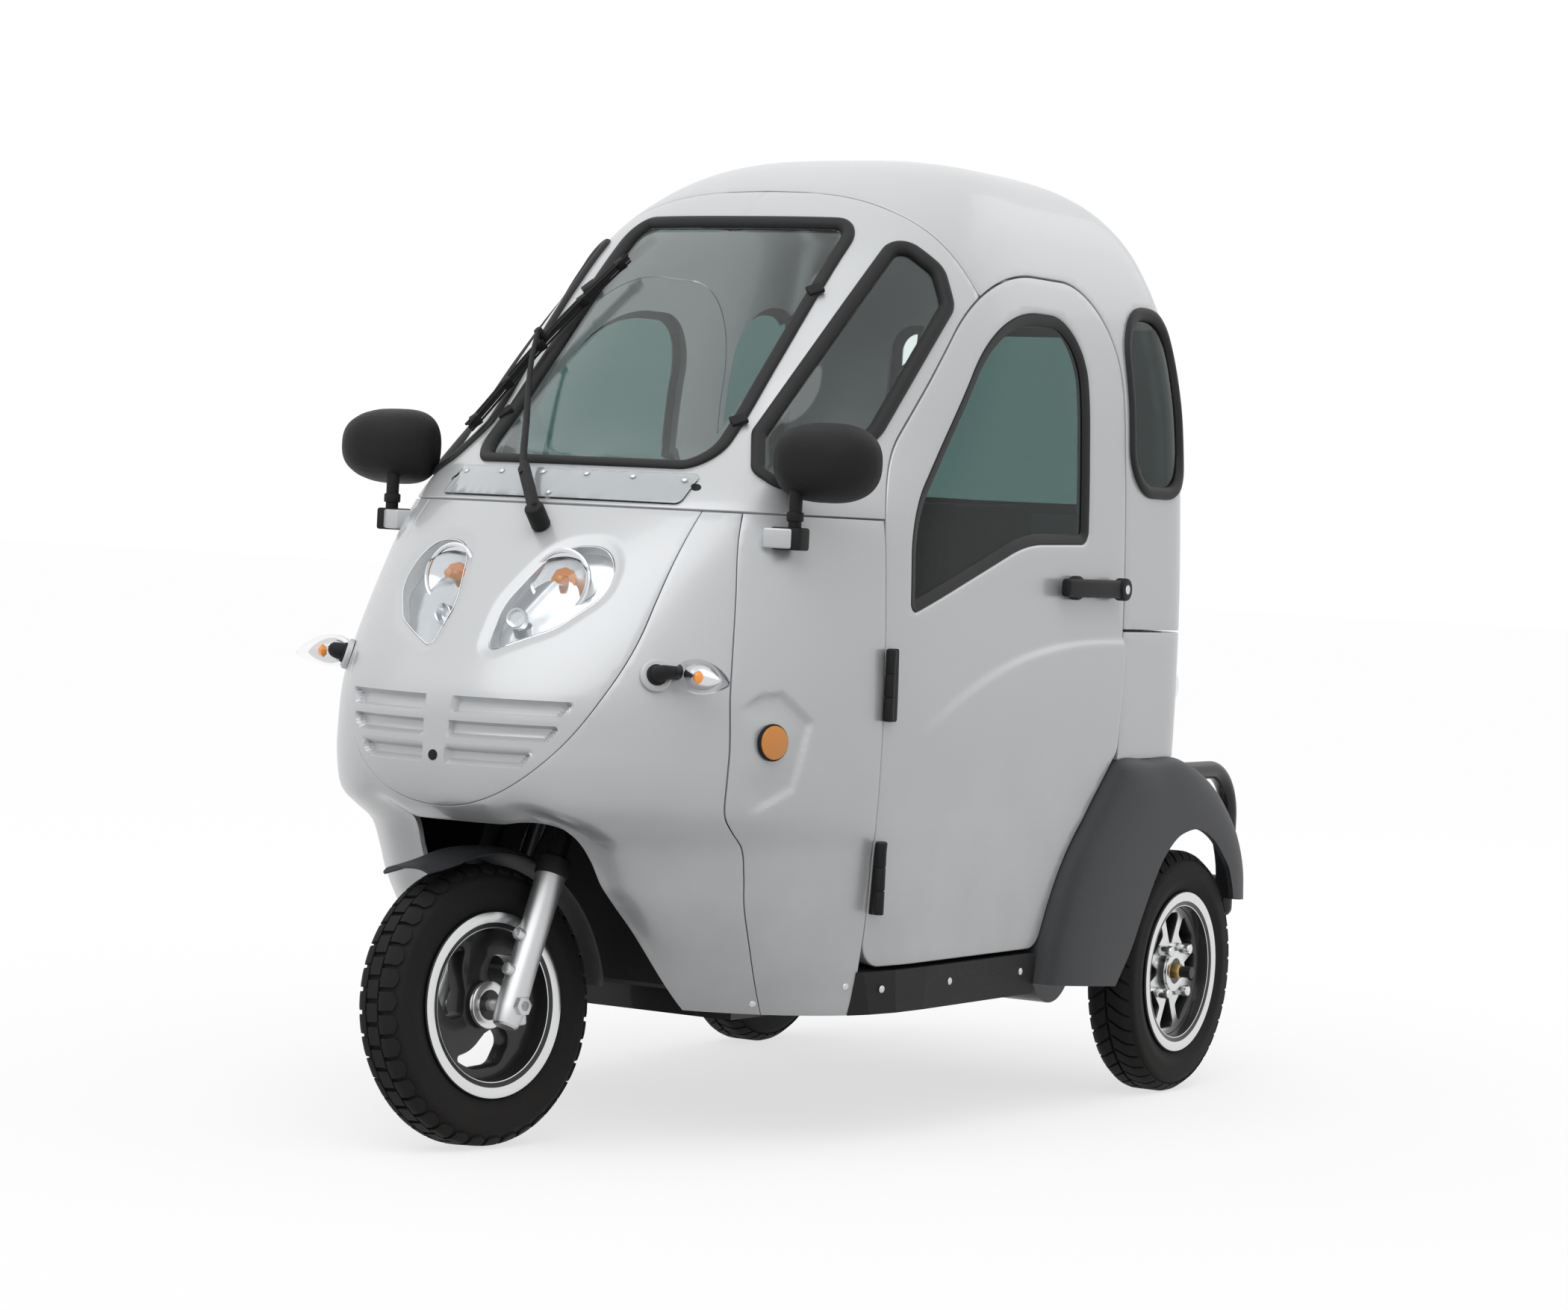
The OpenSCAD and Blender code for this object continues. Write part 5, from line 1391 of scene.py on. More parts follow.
def makeRearBody():
    waist = shell["waist"] - 1 - seamRoll
    low, foot, cornerX = 585.0, 372.0, 348.0
    edgeY = -door["rear"] + door["gap"] + seamRoll - 4
    cornerU = uAt(uRearFromX, cornerX, low)
    zs = np.arange(low, foot, -edgeStep)
    side = sideMap(np.array([(edgeY, waist), (edgeY, low)]))
    under = toMap(np.array([cornerU]), np.array([low]))
    corner = toMap(uRearFromX(np.full(len(zs), cornerX), zs), zs)
    tail = toMap(np.array([3.0, 3.0]), np.array([foot, waist]))
    loop = spaced(np.vstack([side, under, corner, tail]), edgeStep)
    mesh = skinPiece([loop], 13.0, roll=seamRoll, half=True)
    addPiece("rearBody", mesh, "silverPaint", "body", ["rear_body"])


def makeMudguards():
    g = guard
    rows = curveThrough(guardRows, 60)
    edge, lip = rows[:, :2], rows[:, 2:]
    ring = np.vstack([doorOutline, doorOutline[:1]])
    for _ in range(4):
        gap, _ = nearestOnLine(edge, ring)
        gap = np.abs(gap) * np.where(insideLoop(edge, doorOutline), -1, 1)
        step = np.clip(door["gap"] - 1 - gap, 0, 20)
        edge = edge + step[:, None] * np.array([0.72, -0.69])
    shares = 1 - (1 - np.linspace(0, 1, 26)) ** 1.6
    bulge = (1 - (1 - shares) ** g["bulge"]) ** (1 / g["bulge"])
    grid = np.zeros((len(rows), len(shares) + 2, 3))
    grid[:, 0] = np.column_stack([np.full(len(rows), g["inner"]), edge])
    for i, (s, b) in enumerate(zip(shares, bulge)):
        grid[:, i + 1, 0] = g["edgeX"] + (g["lipX"] - g["edgeX"]) * b
        grid[:, i + 1, 1:] = edge + (lip - edge) * s
    grid[:, -1] = grid[:, -2] - (g["lipTurn"], 0, 0)
    mesh = sheetMesh(grid, g["thick"])
    addPiece("rearMudguards", bothSides(mesh), "mudguardPlastic", "body",
             ["rear_mudguards"], 50)


makeRearBody()
makeMudguards()
print("rear ready")

# headlights

lamp = dict(reflector=(100, -1462, 851), reflectorR=46.0, projector=(66, -1521, 792), projectorR=15.0)


def makeHeadlights():
    bowl = skinPiece([frontMap(spaced(grown(headlightOutline, 7.5), 5.0))], 9.0, depth=28.3, thick=11.5,
                     roll=0.3)
    lens = skinPiece([frontMap(spaced(grown(headlightOutline, -1.8), 4.0))], 9.0, depth=1.0, thick=3.0,
                     roll=1.2, height=lensBulge)
    aim = np.array([0.12, -0.97, 0.2])
    r = lamp["reflectorR"]
    dish = [(0, 0), (-1, 9), (2, 14)] + [(3 + 15 * (k / r) ** 2, k) for k in np.linspace(15, r - 3, 10)]
    dish += [(20, r - 2), (21, r), (12, r + 1), (0, r - 6), (-4, 10), (-4, 0)]
    cups = placed(revolved(dish, 56), np.array(lamp["reflector"]) - 14 * aim, aim)
    p = lamp["projectorR"]
    ring = placed(revolved([(0, 0), (0, p), (12, p), (13, p - 1), (12, p - 3), (5, p - 5), (5, 0)], 36),
                  np.array(lamp["projector"]) - 4 * aim, aim)
    middle = np.array(lamp["reflector"]) - 12 * aim
    # amber facets in the reflector round the bulb: a painted reflection of the bulb, merged with the bulb
    # below
    bulbReflectionFacets = revolved([(3, 9), (3.2, 14), (5.5, 21), (4, 21), (2, 14), (1.5, 9)], 9, closed=True)
    bulb = mergeMeshes([placed(revolved([(0, 0), (0, 8), (14, 8), (22, 6), (26, 0)], 24), middle, aim),
                        placed(bulbReflectionFacets, middle, aim)])
    rimLine = [(5, r - 3.5), (9, r - 3.5), (10, r), (9, r + 3), (5, r + 3)]
    rim = placed(revolved(rimLine, 56, closed=True), middle + 8 * aim, aim)
    inside = mergeMeshes([bowl, cups, ring, rim])
    addPairs(
        ("headlightBowls", inside, "lampChrome", "chrome", ["headlight_bowls"]),
        ("headlightBulbsAndReflections", bulb, "amberPlastic", "amber_plastic", []),
        ("headlightLenses", lens, "clearPlastic", "clear_plastic", ["headlight_lenses"]))


def lensBulge(base):
    gap, _ = nearestOnLine(base[:, [0, 2]], headlightLoop)
    return 3.0 * smoothStep(np.abs(gap) / 30) - 3.0


makeHeadlights()

# indicators, reflectors and tail lamps

# place along the skin and height of each lamp
lampSpots = dict(indicator=(0.47, 718), stem=(0.41, 720), reflector=(0.65, 627), tail=(2.42, 705))


def makeLamps():
    seat, away = skinSpot(*lampSpots["indicator"])
    root, out = skinSpot(*lampSpots["stem"])
    aim = np.array([1, -0.12, -0.12])
    aim /= np.linalg.norm(aim)
    long, wide = 102.0, 46.0
    tip = seat + 20 * away - 28 * aim + (0, 0, 2)
    collar = placed(revolved([(0.3, 13), (0.3, 24), (6, 24), (9, 21), (9, 13)], 40, closed=True), root,
                    out)
    stem = mergeMeshes([rod(root + 0.3 * out, root + 14 * out, 16, 4),
                        tubeAlong(curveThrough([root + 8 * out, root + 20 * out + 2 * aim,
                                                tip + 8 * aim], 14),
                                  np.linspace(13, 9, 14))])
    t = np.linspace(0.02, 1, 30)
    r = wide / 2 * np.sin(math.pi * t ** 0.8) ** 0.75 + 4 * (1 - t)
    lens = placed(revolved([(0, 0)] + list(zip(long * t, r)) + [(long, 0)], 40), tip, aim)
    mirrorShape = [(0, 0)] + list(zip(0.62 * long * t, 0.62 * r)) + [(0.62 * long, 0)]
    dish = placed(revolved(mirrorShape, 32), tip + 0.16 * long * aim + (0, 6, 0), aim)
    bulb = placed(revolved([(-9, 0), (-6, 6), (0, 9), (6, 6), (9, 0)], 20),
                  tip + 0.46 * long * aim - (0, 7, 0), aim)
    spot, away = skinSpot(*lampSpots["reflector"])
    base = rod(spot - 0.5 * away, spot + 7 * away, 28, 2)
    dome = placed(revolved([(0, 0), (0, 25.5), (2.2, 25), (3, 20), (3.4, 0)], 40), spot + 6.6 * away,
                  away)
    tail, back = skinSpot(*lampSpots["tail"])
    bezelLine = [(0, 28), (0, 40), (10, 40), (14, 37), (14, 33), (6, 31)]
    bezel = placed(revolved(bezelLine, 48, closed=True), tail + 0.3 * back, back)
    red = placed(revolved([(0, 0), (0, 33), (14, 32.5), (18, 26), (20, 14), (20, 0)], 48),
                 tail + 0.3 * back, back)
    addPairs(
        ("indicatorStems", mergeMeshes([stem, base]), "blackPlastic", "black_plastic", []),
        ("indicatorCollars", collar, "silverPaint", "silver_paint", []),
        ("indicatorLenses", lens, "lampClear", "clear_plastic", ["indicators"]),
        ("indicatorDishes", dish, "lampChrome", "chrome", []),
        ("indicatorBulbs", bulb, "amberPlastic", "amber_plastic", []),
        ("sideReflectors", dome, "amberPlastic", "amber_plastic", ["side_reflectors"]),
        ("tailBezels", bezel, "brightChrome", "chrome", []),
        ("tailLamps", red, "redPlastic", "red_plastic", ["tail_lamps"]))


makeLamps()

# mirrors

mirror = dict(middle=(403.0, -1202.0, 1046.0), half=87.0, high=60.0, deep=80.0, wall=5.0,
              elbow=(372.0, -1252.0, 930.0))


def mirrorRing(share, depth, count=72):
    a = np.arange(count) * 2 * math.pi / count
    c, s = np.cos(a), np.sin(a)
    power = np.where(c < 0, 0.62, 0.85)
    across = mirror["half"] * share * np.sign(c) * np.abs(c) ** power
    up = mirror["high"] * share * np.sign(s) * np.abs(s) ** 0.8
    return np.stack([across, np.full(count, -depth), up], -1) + mirror["middle"]


def stackedRings(rings):
    faces = gridFaces(len(rings), len(rings[0]))
    return oriented(welded((np.concatenate(rings), faces), 0.01))


def makeMirrors():
    inner = 1 - mirror["wall"] / mirror["high"]
    steps = [(0.0, 9), (inner * 0.5, 9), (inner - 0.01, 9), (inner, 7), (inner, 1.5), (inner + 0.02, 0),
             (0.985, 0), (1.0, 2)]
    turns = np.radians([12, 24, 36, 48, 60, 70, 78, 84, 88])
    steps += [(math.cos(t) ** 0.7, 2 + (mirror["deep"] - 2) * math.sin(t)) for t in turns]
    rings = [mirrorRing(max(share, 1e-6), depth) for share, depth in steps + [(0.0, mirror["deep"])]]
    cup = stackedRings(rings)
    edge = inner - 0.015
    glassSteps = [(0.0, 6.0), (0.5, 6.3), (edge, 7.0), (edge, 8.8), (0.0, 8.8)]
    glassRings = [mirrorRing(max(share, 1e-6), depth) for share, depth in glassSteps]
    pane = stackedRings(glassRings)
    elbow = np.array(mirror["elbow"])
    up = np.array([0, 0, 1.0])
    stalk = mergeMeshes([rod(elbow - 14 * up, elbow + 96 * up, 10),
                         rod(elbow + 26 * up, elbow + 40 * up, 13, 2),
                         slab(elbow - (34, 15, 17), elbow + (19, 15, 17), 4)])
    foot, _ = skinSpot(uAt(uFromY, elbow[1] - 20, elbow[2]), elbow[2])
    arm = beam(foot, elbow, 30, 30, 3)
    addPairs(
        ("mirrorShells", mergeMeshes([cup, stalk]), "blackPlastic", "black_plastic", ["mirrors"]),
        ("mirrorGlass", pane, "brightChrome", "chrome", []),
        ("mirrorArms", arm, "silverPaint", "silver_paint", []))


makeMirrors()
print("lamps and mirrors ready")

# wiper and vent plate


def skinLine(first, last, offFirst, offLast, count=24):
    # line that follows the skin between two places, at a height that changes along it
    t = np.linspace(0, 1, count)
    u, z, off = (np.interp(t, [0, 1], ends) for ends in zip((*first, offFirst), (*last, offLast)))
    return np.array([skinSpot(*place)[0] for place in zip(u, z, off)])


def makeWiper():
    pivot, grip = (0.025, 930), (-0.25, 1212)
    foot, head = (-0.34, 1065), (-0.165, 1355)
    base, out = skinSpot(*pivot, 0.3)
    arm = skinLine(pivot, grip, 36, 42)
    blade = skinLine(foot, head, 23, 23)
    lift = np.array(skinSpot(*grip)[1])
    across = np.cross(blade[-1] - blade[0], lift)
    across /= np.linalg.norm(across)
    knee = arm[5]
    parts = [rod(base, base + 40 * out, 15, 4), beam(base + 34 * out, knee, 20, 13, 4),
             tubeAlong(arm[4:], np.linspace(6.0, 4.0, len(arm) - 4)),
             rod(arm[-1] + 4 * lift, arm[-1] - 18 * lift, 7, 2),
             tubeAlong(blade + 4 * across + 4 * lift, 2.4, 10),
             tubeAlong(blade - 4 * across + 4 * lift, 2.4, 10),
             tubeAlong(blade - 3 * lift, 3.2, 8), tubeAlong(blade - 9 * lift, 2.0, 8)]
    for k in (1, 6, 11, 17, 22):
        parts.append(placed(slab((-10, -8, -7), (7, 8, 7), 2), blade[k], lift))
    mesh = mergeMeshes(parts)
    addPiece("wiper", mesh, "blackPlastic", "body", ["wiper"])


def makeVentPlate():
    low, high, half = 972.5, 1017.5, 216.5
    outline = np.vstack([[(0, low)], rounded([(half, low, 8), (half, high, 8), (0, high, 0),
                                              (0, low, 0)])[:26], [(0, high)]])
    mesh = skinPiece([frontMap(spaced(outline, 6.0))], 12.0, depth=-3.8, thick=3.4, roll=0.8, half=True)
    addPiece("ventPlate", mesh, "clearPlastic", "body", ["vent_plate"])
    spots = []
    for x, z in ((-200, 1008), (-120, 1010), (-40, 1011), (40, 1011), (120, 1010), (200, 1008), (0, 980)):
        u = uAt(uFromX, x, z) * (1 if x > 0 else -1)
        spots.append(skinSpot(u, z, 3.6))
    addScrews("ventScrews", spots, 5.0, 2.4, "forkAlloy", "body")


makeWiper()
makeVentPlate()

# door fittings

hinge = dict(x=joints["left_door_hinge"]["pos_m"][0] / mm, low=(363.0, 659.0), long=110.0, r=8.0,
             leaf=22.0)


def hingeLeaf(y, z):
    outline = rounded([(y, z, 3), (y + hinge["leaf"], z, 3), (y + hinge["leaf"], z + hinge["long"], 3),
                       (y, z + hinge["long"], 3)], 4)
    return skinPiece([sideMap(spaced(outline, 8.0))], 12.0, depth=-6.0, thick=5.7, roll=1.0)


def knuckle(low, high, r):
    pinY = -door["front"] - door["gap"] / 2
    return rod((hinge["x"], pinY, low), (hinge["x"], pinY, high), r)


def makeDoorFittings():
    moving, fixed = [], []
    for z in hinge["low"]:
        third = hinge["long"] / 3
        moving.append(knuckle(z + third + 0.6, z + 2 * third - 0.6, hinge["r"]))
        moving.append(knuckle(z + 1, z + hinge["long"] - 1, hinge["r"] - 1.5))
        moving.append(hingeLeaf(-door["front"] + 1, z))
        for low in (z, z + 2 * third):
            fixed.append(knuckle(low, low + third, hinge["r"]))
    handleZ = 872.0
    x = float(skinPoint(np.array([1.5]), np.array([handleZ]))[0, 0]) + 0.6
    y = -door["rear"] - 195
    moving += [rod((x, y, handleZ), (x + 16, y, handleZ), 20, 3),
               rod((x, y + 145, handleZ), (x + 16, y + 145, handleZ), 15, 3),
               slab((x + 8, y - 55, handleZ - 15), (x + 25, y + 170, handleZ + 15), 6),
               rod((x + 8, y + 152, handleZ), (x + 28, y + 152, handleZ), 19, 3)]
    key = rod((x + 26, y + 152, handleZ), (x + 28.8, y + 152, handleZ), 8, 1)
    for side in ("left", "right"):
        for name, parts, finish, slot, nodes in (
                ("doorFittings", moving + fixed, "blackPlastic", "black_plastic",
                 ["door_" + side + "_fittings"]),
                ("doorLock", [key], "forkAlloy", "fork_alloy", [])):
            mesh = onSide(mergeMeshes(parts), side)
            addPiece(name + "." + side, mesh, finish, side + "_door", nodes)


makeDoorFittings()
print("fittings ready")

# wheels

tyreShape = dict(radius=210.0, carcass=204.5, wide=90.0, seat=127.3)


def tyreOutline(r):
    s, w = tyreShape["seat"], tyreShape["wide"] / 2
    half = [(s, -w + 16, 4), (s + 14, -w + 9, 8), (s + 36, -w, 26), (r - 14, -w + 2, 14),
            (r, -w + 20, 15)]
    return rounded(half + [(a, -b, c) for a, b, c in reversed(half)], 7)


treadLine = tyreOutline(tyreShape["radius"])
treadLine = treadLine[(treadLine[:, 0] > 185) & (treadLine[:, 1] >= 0)]
treadLine = treadLine[np.argsort(treadLine[:, 1])]


def treadBlock(x0, x1, half, skew=0.0, scallop=0.0, flip=False):
    # one block of the tread, following the tyre's crown and shoulder
    s = np.linspace(-1, 1, 5)
    t = np.linspace(0, 1, 7)
    grid = np.zeros((len(s), len(t), 3))
    for j, a in enumerate(s):
        x = x0 + (x1 - scallop * a * a - x0) * t
        angle = half * a + skew * (x - x0)
        r = np.interp(np.abs(x), treadLine[:, 1], treadLine[:, 0])
        grid[j] = np.stack([-x if flip else x, r * np.cos(angle), r * np.sin(angle)], -1)
    points, faces = sheetMesh(grid, 6.0)
    middle = grid.reshape(-1, 3).mean(0)
    if np.linalg.norm(points[len(points) // 2:, 1:].mean(0)) > np.linalg.norm(middle[1:]):
        points, faces = sheetMesh(grid[:, ::-1], 6.0)
    return points, faces


def turnedAbout(mesh, angle):
    c, s = math.cos(angle), math.sin(angle)
    return np.asarray(mesh[0]) @ np.array([[1, 0, 0], [0, c, s], [0, -s, c]]), mesh[1]


def makeTyre(rows, count):
    carcass = revolved([(b, a) for a, b in tyreOutline(tyreShape["carcass"])], 120, closed=True)
    pitch = 2 * math.pi / count
    parts = [carcass]
    for x0, x1, share, skew, scallop, offset in rows:
        for flip in (False, True):
            if x0 < 0 and flip:
                continue
            block = treadBlock(x0, x1, share * pitch / 2, skew, scallop, flip)
            block = turnedAbout(block, pitch * (offset + (0.25 if flip and skew else 0)))
            parts.append(ringOf(block, count, "tyreRubber"))
    return mergeMeshes(parts)


rimShape = dict(radius=127.0, half=37.0, bead=13.0, disc=112, discBack=-12, discFront=18)


def makeBarrel():
    r, w, bead = rimShape["radius"], rimShape["half"], rimShape["bead"]
    line = [(r - 7, -w, 1), (r + bead, -w, 1), (r + bead, -w - 4, 2), (r - 7 + bead, -w - 6, 2),
            (r - 12, -w - 2, 3),
            (r - 14, -w + 20, 4), (r - 24, 0, 8), (r - 14, w - 20, 4), (r - 12, w + 2, 3),
            (r - 7 + bead, w + 6, 2), (r + bead, w + 4, 2), (r + bead, w, 1), (r - 7, w, 1),
            (r, w - 8, 2), (r, -w + 8, 2)]
    return revolved([(b, a) for a, b in rounded(line, 3)], 96, closed=True)


def makeLip(side):
    r, w = rimShape["radius"], rimShape["half"]
    line = [(r - 12.5, w + 1.4), (r + 5, w + 6.3), (r + 11.5, w + 5.0), (r + 11.5, w + 3.0),
            (r + 5, w + 4), (r - 11, w)]
    return revolved([(b * side, a) for a, b in line], 96, closed=True)


def ringPiece(x0, x1, r0, r1, bevel=1.5):
    line = rounded([(r0, x0, bevel), (r1, x0, bevel), (r1, x1, bevel), (r0, x1, bevel)], 3)
    return revolved([(b, a) for a, b in line], 72, closed=True)


def frontRimParts():
    comma = rounded([(-64, -76, 5), (-26, -68, 60), (2, -44, 14), (34, -31, 9), (52, -56, 18),
                     (28, -91, 22), (-28, -94, 50)], 8)
    loops = [circle(rimShape["disc"])] + [spaced(spun(grown(comma, 4), 120 * i), 4.0) for i in range(3)]
    disc = plate(loops, rimShape["discBack"], rimShape["discFront"], 4.0)
    hub = revolved([(-31, 0), (-31, 30), (-27, 34), (27, 34), (31, 30), (31, 0)], 64)
    return [("frontRim", mergeMeshes([makeBarrel(), disc[:2], hub]), "blackAlloy"),
            ("frontRimLips", mergeMeshes([makeLip(1), makeLip(-1), ringPiece(24, 32, 22, 36)]),
             "machinedAlloy")]


def rearRimParts():
    reach, outer = 99.0, 99.0 * math.tan(math.radians(22.5)) - 12
    vee = rounded([(-3, 50, 2), (3, 50, 2), (outer - 2, reach, 7), (-outer + 2, reach, 7)], 5)
    wideOne = rounded([(-21, 67, 6), (21, 67, 6), (outer + 2, reach, 7), (-outer - 2, reach, 7)], 5)
    loops = [circle(rimShape["disc"])]
    for i in range(4):
        loops.append(spaced(spun(grown(vee, 2.5), 90 * i), 4.0))
        loops.append(spaced(spun(grown(wideOne, 2.5), 90 * i + 45), 4.0))
    disc = plate(loops, rimShape["discBack"], rimShape["discFront"], 2.5)
    hub = revolved([(-31, 0), (-31, 30), (-27, 34), (26, 34), (30, 30), (30, 0)], 64)
    nutY, nutZ = 52 * math.cos(math.pi / 4), 52 * math.sin(math.pi / 4)
    nut = rod((17, nutY, nutZ), (41, nutY, nutZ), 9.5, 4)
    nuts = ringOf(nut, 4, "machinedAlloy")
    castle = revolved([(29, 0), (29, 14), (39, 14), (42, 11), (42, 5), (36, 5), (36, 0)], 6)
    face = disc[0], list(disc[1][:disc[2]])
    rest = disc[0], list(disc[1][disc[2]:])
    return [("rearRim", mergeMeshes([makeBarrel(), rest, hub]), "blackAlloy"),
            ("rearRimFace", mergeMeshes([face, makeLip(1), makeLip(-1), nuts,
                                         ringPiece(24, 31, 22, 36)]), "machinedAlloy"),
            ("rearNut", castle, "brassNut")]


rake = math.radians(25)
axisFoot = np.array([0, -1445, 211.256])
wheelMid = np.array([0, -1480, 211.256])
rearHub = (412, 0, 210)
axisDir = np.array([0, math.sin(rake), math.cos(rake)])
restTurn = np.array(Matrix.Rotation(math.radians(-12), 3, Vector(axisDir)))


def turned(mesh):
    # the steered end stands turned as in the photograph
    return (np.asarray(mesh[0]) - axisFoot) @ restTurn.T + axisFoot, mesh[1]


def moved(mesh, shift):
    return np.asarray(mesh[0]) + np.asarray(shift, float), mesh[1]


def makeWheels():
    frontTyre = makeTyre([(-11, 11, 0.78, 0, 0, 0), (14, 40, 0.80, 0, 5, 0.5)], 38)
    mesh = turned(moved(frontTyre, wheelMid))
    addPiece("frontTyre", mesh, "tyreRubber", "front_wheel", ["front_tyre"])
    for name, part, finish in frontRimParts():
        mesh = turned(moved(part, wheelMid))
        nodes = ["front_rim"] if name == "frontRim" else []
        addPiece(name, mesh, finish, "front_wheel", nodes, 30)
    rearTyre = makeTyre([(2.5, 39.5, 0.82, 0.0035, 0, 0)], 44)
    parts = [("rearTyre", rearTyre, "tyreRubber", "tyre", "rear_tyre_")]
    for name, part, finish in rearRimParts():
        parts.append((name, part, finish, "rim_alloy", "rear_rim_" if name == "rearRim" else None))
    for side in ("left", "right"):
        for name, part, finish, slot, node in parts:
            mesh = onSide(moved(part, rearHub), side)
            nodes = [node + side] if node else []
            addPiece(name + "." + side, mesh, finish, "rear_wheel_" + side, nodes, 30)


makeWheels()
print("wheels ready")

# steered front end

forkShape = dict(legX=76, axleHalf=106, axleR=9.5, nut=10)


def makeFork():
    legs, caps = [], []
    for side in (-1, 1):
        mid = wheelMid + (forkShape["legX"] * side, 0, 0)
        profile = [(-34, 0), (-34, 15), (-31, 19), (-24, 21), (-6, 23), (60, 22), (150, 22), (196, 22.5),
                   (206, 23), (210, 23), (210, 0)]
        legs.append(placed(revolved(profile, 40), mid, axisDir))
        collar = [(208, 15.6), (208, 24), (211, 26), (234, 26), (237, 23), (238, 15.6)]
        caps.append(placed(revolved(collar, 40, closed=True), mid, axisDir))
        ahead = np.array([0, -math.cos(rake), math.sin(rake)])
        for s in (48, 104):
            legs.append(rod(mid + s * axisDir, mid + s * axisDir + 33 * ahead, 9, 2))
        legs.append(slab(mid - (15, 19, 30), mid + (15, 19, 4), 5))
    end = np.array([forkShape["axleHalf"], 0, 0])
    legs.append(rod(wheelMid - end, wheelMid + end, forkShape["axleR"], 2))
    nutLine = [(0, 0), (0, 15), (9, 15), (10, 13), (10, 0)]
    for shift in (forkShape["axleHalf"] - forkShape["nut"], -forkShape["axleHalf"]):
        legs.append(placed(revolved(nutLine, 6), wheelMid + (shift, 0, 0)))
    mesh = turned(mergeMeshes(legs))
    addPiece("forkSliders", mesh, "forkAlloy", "steering", ["fork_sliders"], 30)
    mesh = turned(mergeMeshes(caps))
    addPiece("forkCollars", mesh, "blackPlastic", "steering")


def makeFrontMudguard():
    radius, half, tip = 238.0, 49.7, 124.0
    angles = np.arange(tip, 3.9, -2.5)
    across = np.sin(np.linspace(-math.pi / 2, math.pi / 2, 25))
    flare = 18 * np.clip((angles - tip + 18) / 18, 0, None) ** 2
    a = np.radians(angles)[:, None]
    r = radius - 12 * np.abs(across) ** 4 + flare[:, None]
    grid = np.stack([np.broadcast_to(half * across, r.shape), r * np.cos(a), r * np.sin(a)], -1)
    mesh = turned(moved(sheetMesh(grid, 4.0), wheelMid))
    addPiece("frontMudguard", mesh, "mudguardPlastic", "steering", ["front_mudguard"],
             50)


makeFork()
makeFrontMudguard()
print("front end ready")

# seat

seat = dict(low=(-240.0, -760.0, 560.3), high=(240.0, -360.0, 650.3), inset=8.0, cap=12.0, voxel=0.006,
            fill=4.0, backSize=(470.0, 80.0, 590.0), backFoot=(-235.0, -345.0, 434.4), lean=-10.0,
            seam=80.0, seamDeep=6.0)


def inflated(mesh):
    # pad blown up by the cloth simulation, with its movement limited
    scene = bpy.context.scene
    data = bpy.data.meshes.new("pad")
    data.from_pydata([tuple(p * mm) for p in mesh[0]], [], mesh[1])
    pad = bpy.data.objects.new("pad", data)
    scene.collection.objects.link(pad)
    grid = pad.modifiers.new("grid", "REMESH")
    grid.mode = "VOXEL"
    grid.voxel_size = seat["voxel"]
    pad.data = bpy.data.meshes.new_from_object(pad.evaluated_get(bpy.context.evaluated_depsgraph_get()))
    pad.modifiers.remove(grid)
    before = np.array([tuple(v.co) for v in pad.data.vertices])
    after = before
    cloth = pad.modifiers.new("fill", "CLOTH")
    cloth.settings.use_pressure = True
    cloth.settings.uniform_pressure_force = seat["fill"]
    cloth.settings.effector_weights.gravity = 0
    cloth.point_cache.frame_start = 1
    cloth.point_cache.frame_end = 20
    for number in range(1, 21):
        scene.frame_set(number)
    made = pad.evaluated_get(bpy.context.evaluated_depsgraph_get()).to_mesh()
    after = np.array([tuple(v.co) for v in made.vertices])
    scene.frame_set(1)
    move = after - before
    length = np.linalg.norm(move, axis=1, keepdims=True) + 1e-9
    points = (before + move * np.minimum(1, seat["cap"] * mm / length)) / mm
    faces = [tuple(p.vertices) for p in pad.data.polygons]
    bpy.data.objects.remove(pad)
    return points, faces


def seamDip(across):
    return seat["seamDeep"] * sum(np.exp(-((across - s) / 7) ** 2) for s in (-seat["seam"], seat["seam"]))


def addPad(name, mesh, node):
    piece = addPiece(name, mesh, "seatCover", "body", [node], 60)
    smooth = piece.modifiers.new("smooth", "SUBSURF")
    smooth.levels = 1
    smooth.render_levels = 1


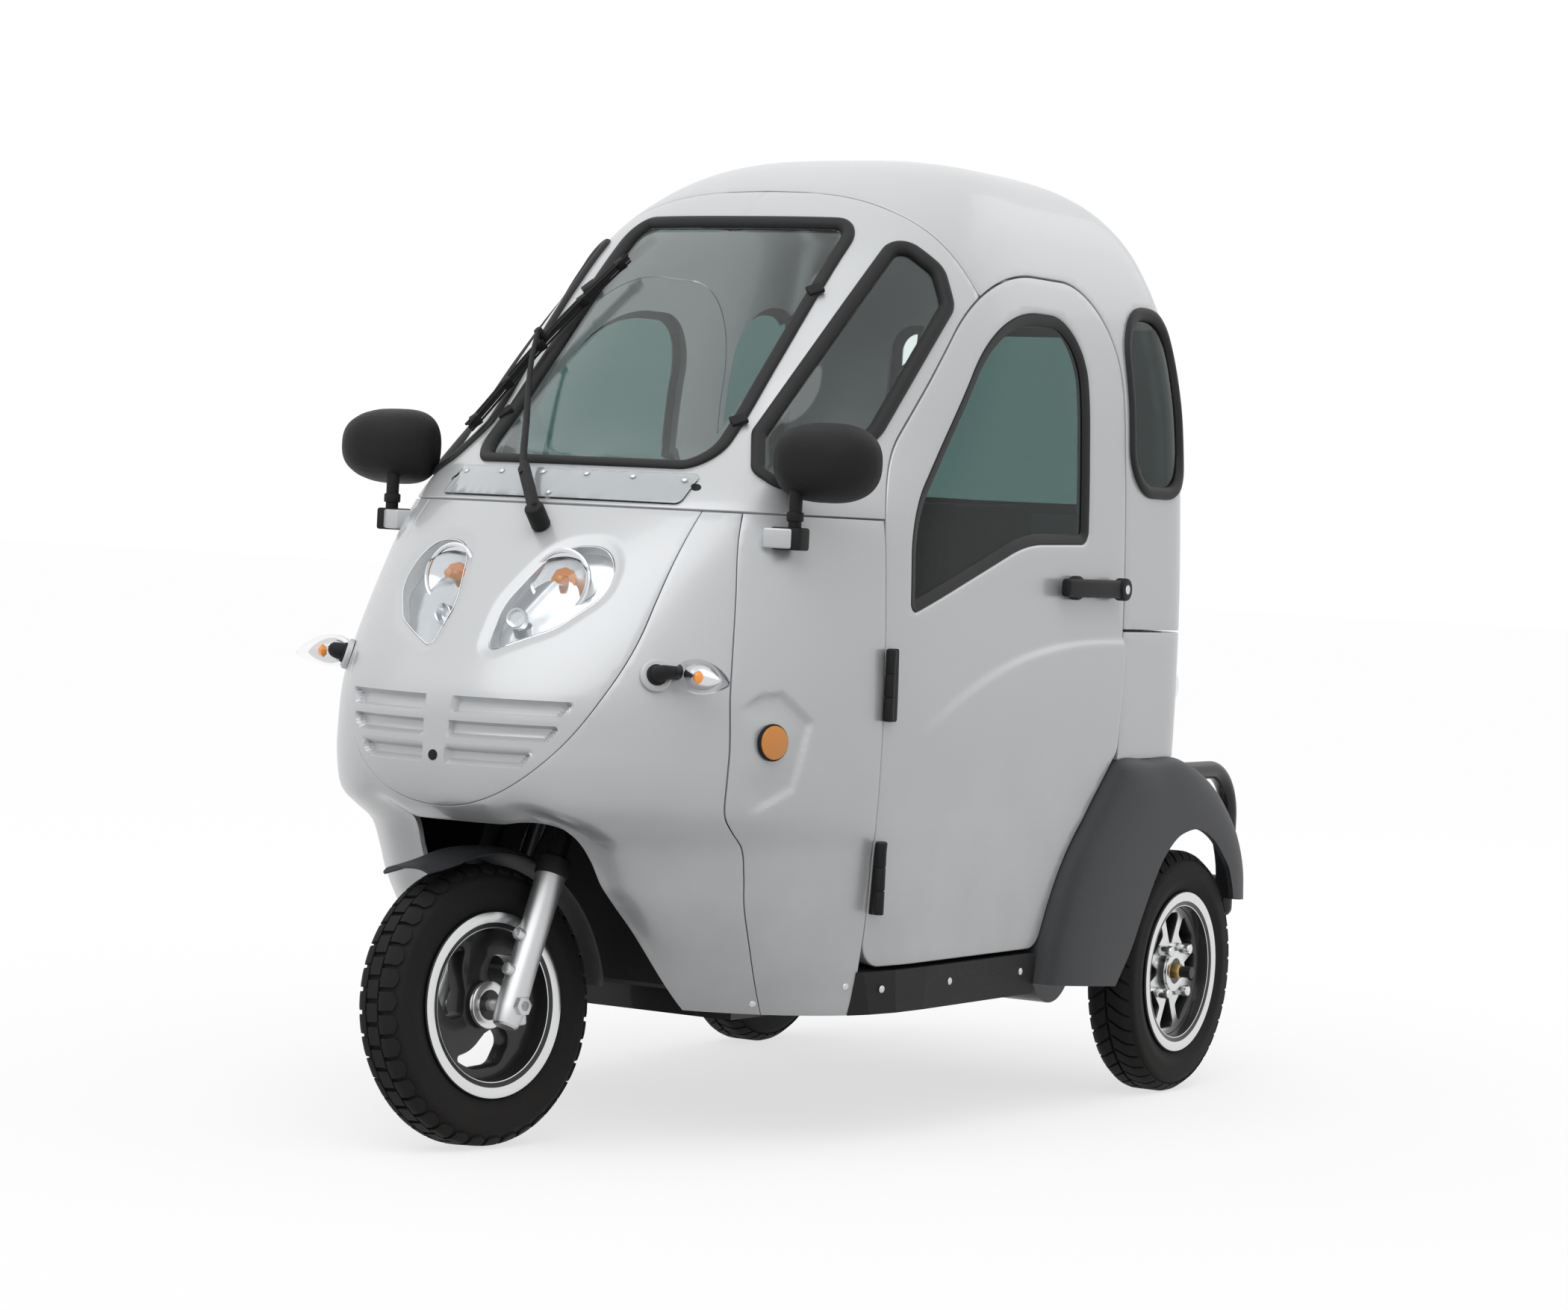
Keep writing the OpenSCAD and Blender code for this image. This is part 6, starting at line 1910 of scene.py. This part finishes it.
def makeSeat():
    inset = np.full(3, seat["inset"])
    points, faces = inflated(slab(np.array(seat["low"]) + inset * (1, 1, 0.2),
                                  np.array(seat["high"]) - inset, 26, 5))
    top = smoothStep((points[:, 2] - 600) / 25)
    points[:, 2] -= top * seamDip(points[:, 0])
    points[:, 2] = np.maximum(points[:, 2], seat["low"][2] + 0.2)
    addPad("seatCushion", (points, faces), "seat_cushion")
    size = np.array(seat["backSize"])
    points, faces = inflated(slab(inset, size - inset, 26, 5))
    front = 1 - smoothStep((points[:, 1] - 15) / 25)
    points[:, 1] += front * seamDip(points[:, 0] - size[0] / 2)
    turn = np.array(Matrix.Rotation(math.radians(seat["lean"]), 3, "X"))
    addPad("seatBack", (points @ turn.T + np.array(seat["backFoot"]) + (0, 0, 14), faces), "seat_back")


makeSeat()
print("seat ready")

# small details on the body


def sideSpot(y, z, off):
    return skinSpot(uAt(uFromY, y, z), z, off)


def makeDetails():
    clips, plugs = [], []
    for side in (-1, 1):
        for z in (1102, 1317):
            x = screen["half"] - 7 * (z - screen["foot"]) / (screen["top"] - screen["foot"]) - 6
            spot, out = skinSpot(side * uAt(uFromX, x, z), z, 3)
            clips.append(placed(slab((0, -13, -10), (8, 13, 10), 2), spot, out))
        spot, out = skinSpot(side * uAt(uFromX, 221, 1000), 1000, -1)
        plugs.append(rod(spot, spot + 1.6 * out, 8, 0.5))
    spot, out = skinSpot(0.0, 589, -1)
    plugs.append(rod(spot, spot + 2 * out, 8, 0.6))
    mesh = mergeMeshes(clips + plugs)
    addPiece("clipsAndPlugs", mesh, "blackPlastic", "body")
    spots = []
    for y, z, off in ((-1073, 250, 0.2), (-1187, 222, 0.2), (-560, 244, 3.2), (-800, 244, 3.2),
                      (-1000, 244, 3.2)):
        point, out = sideSpot(y, z, off)
        spots += [(point, out), (point * (-1, 1, 1), out * (-1, 1, 1))]
    addScrews("bodyScrews", spots, 6.0, 2.6, "forkAlloy", "body")


makeDetails()
print("details ready")

# finishes of the pieces that stay as the CAD has them

keptFinish = {
    "chassis_frame": "framePaint", "floor_pan": "floorMat", "rear_bumper": "framePaint",
    "leaf_springs": "framePaint",
    "rear_axle": "framePaint", "seat_base": "framePaint", "battery_pack": "batteryCase",
    "fork": "framePaint"}
for name, node in frame["nodes"].items():
    if not node.hide_render:
        node.data.materials.clear()
        node.data.materials.append(materials[keptFinish.get(name, "blackPlastic")])
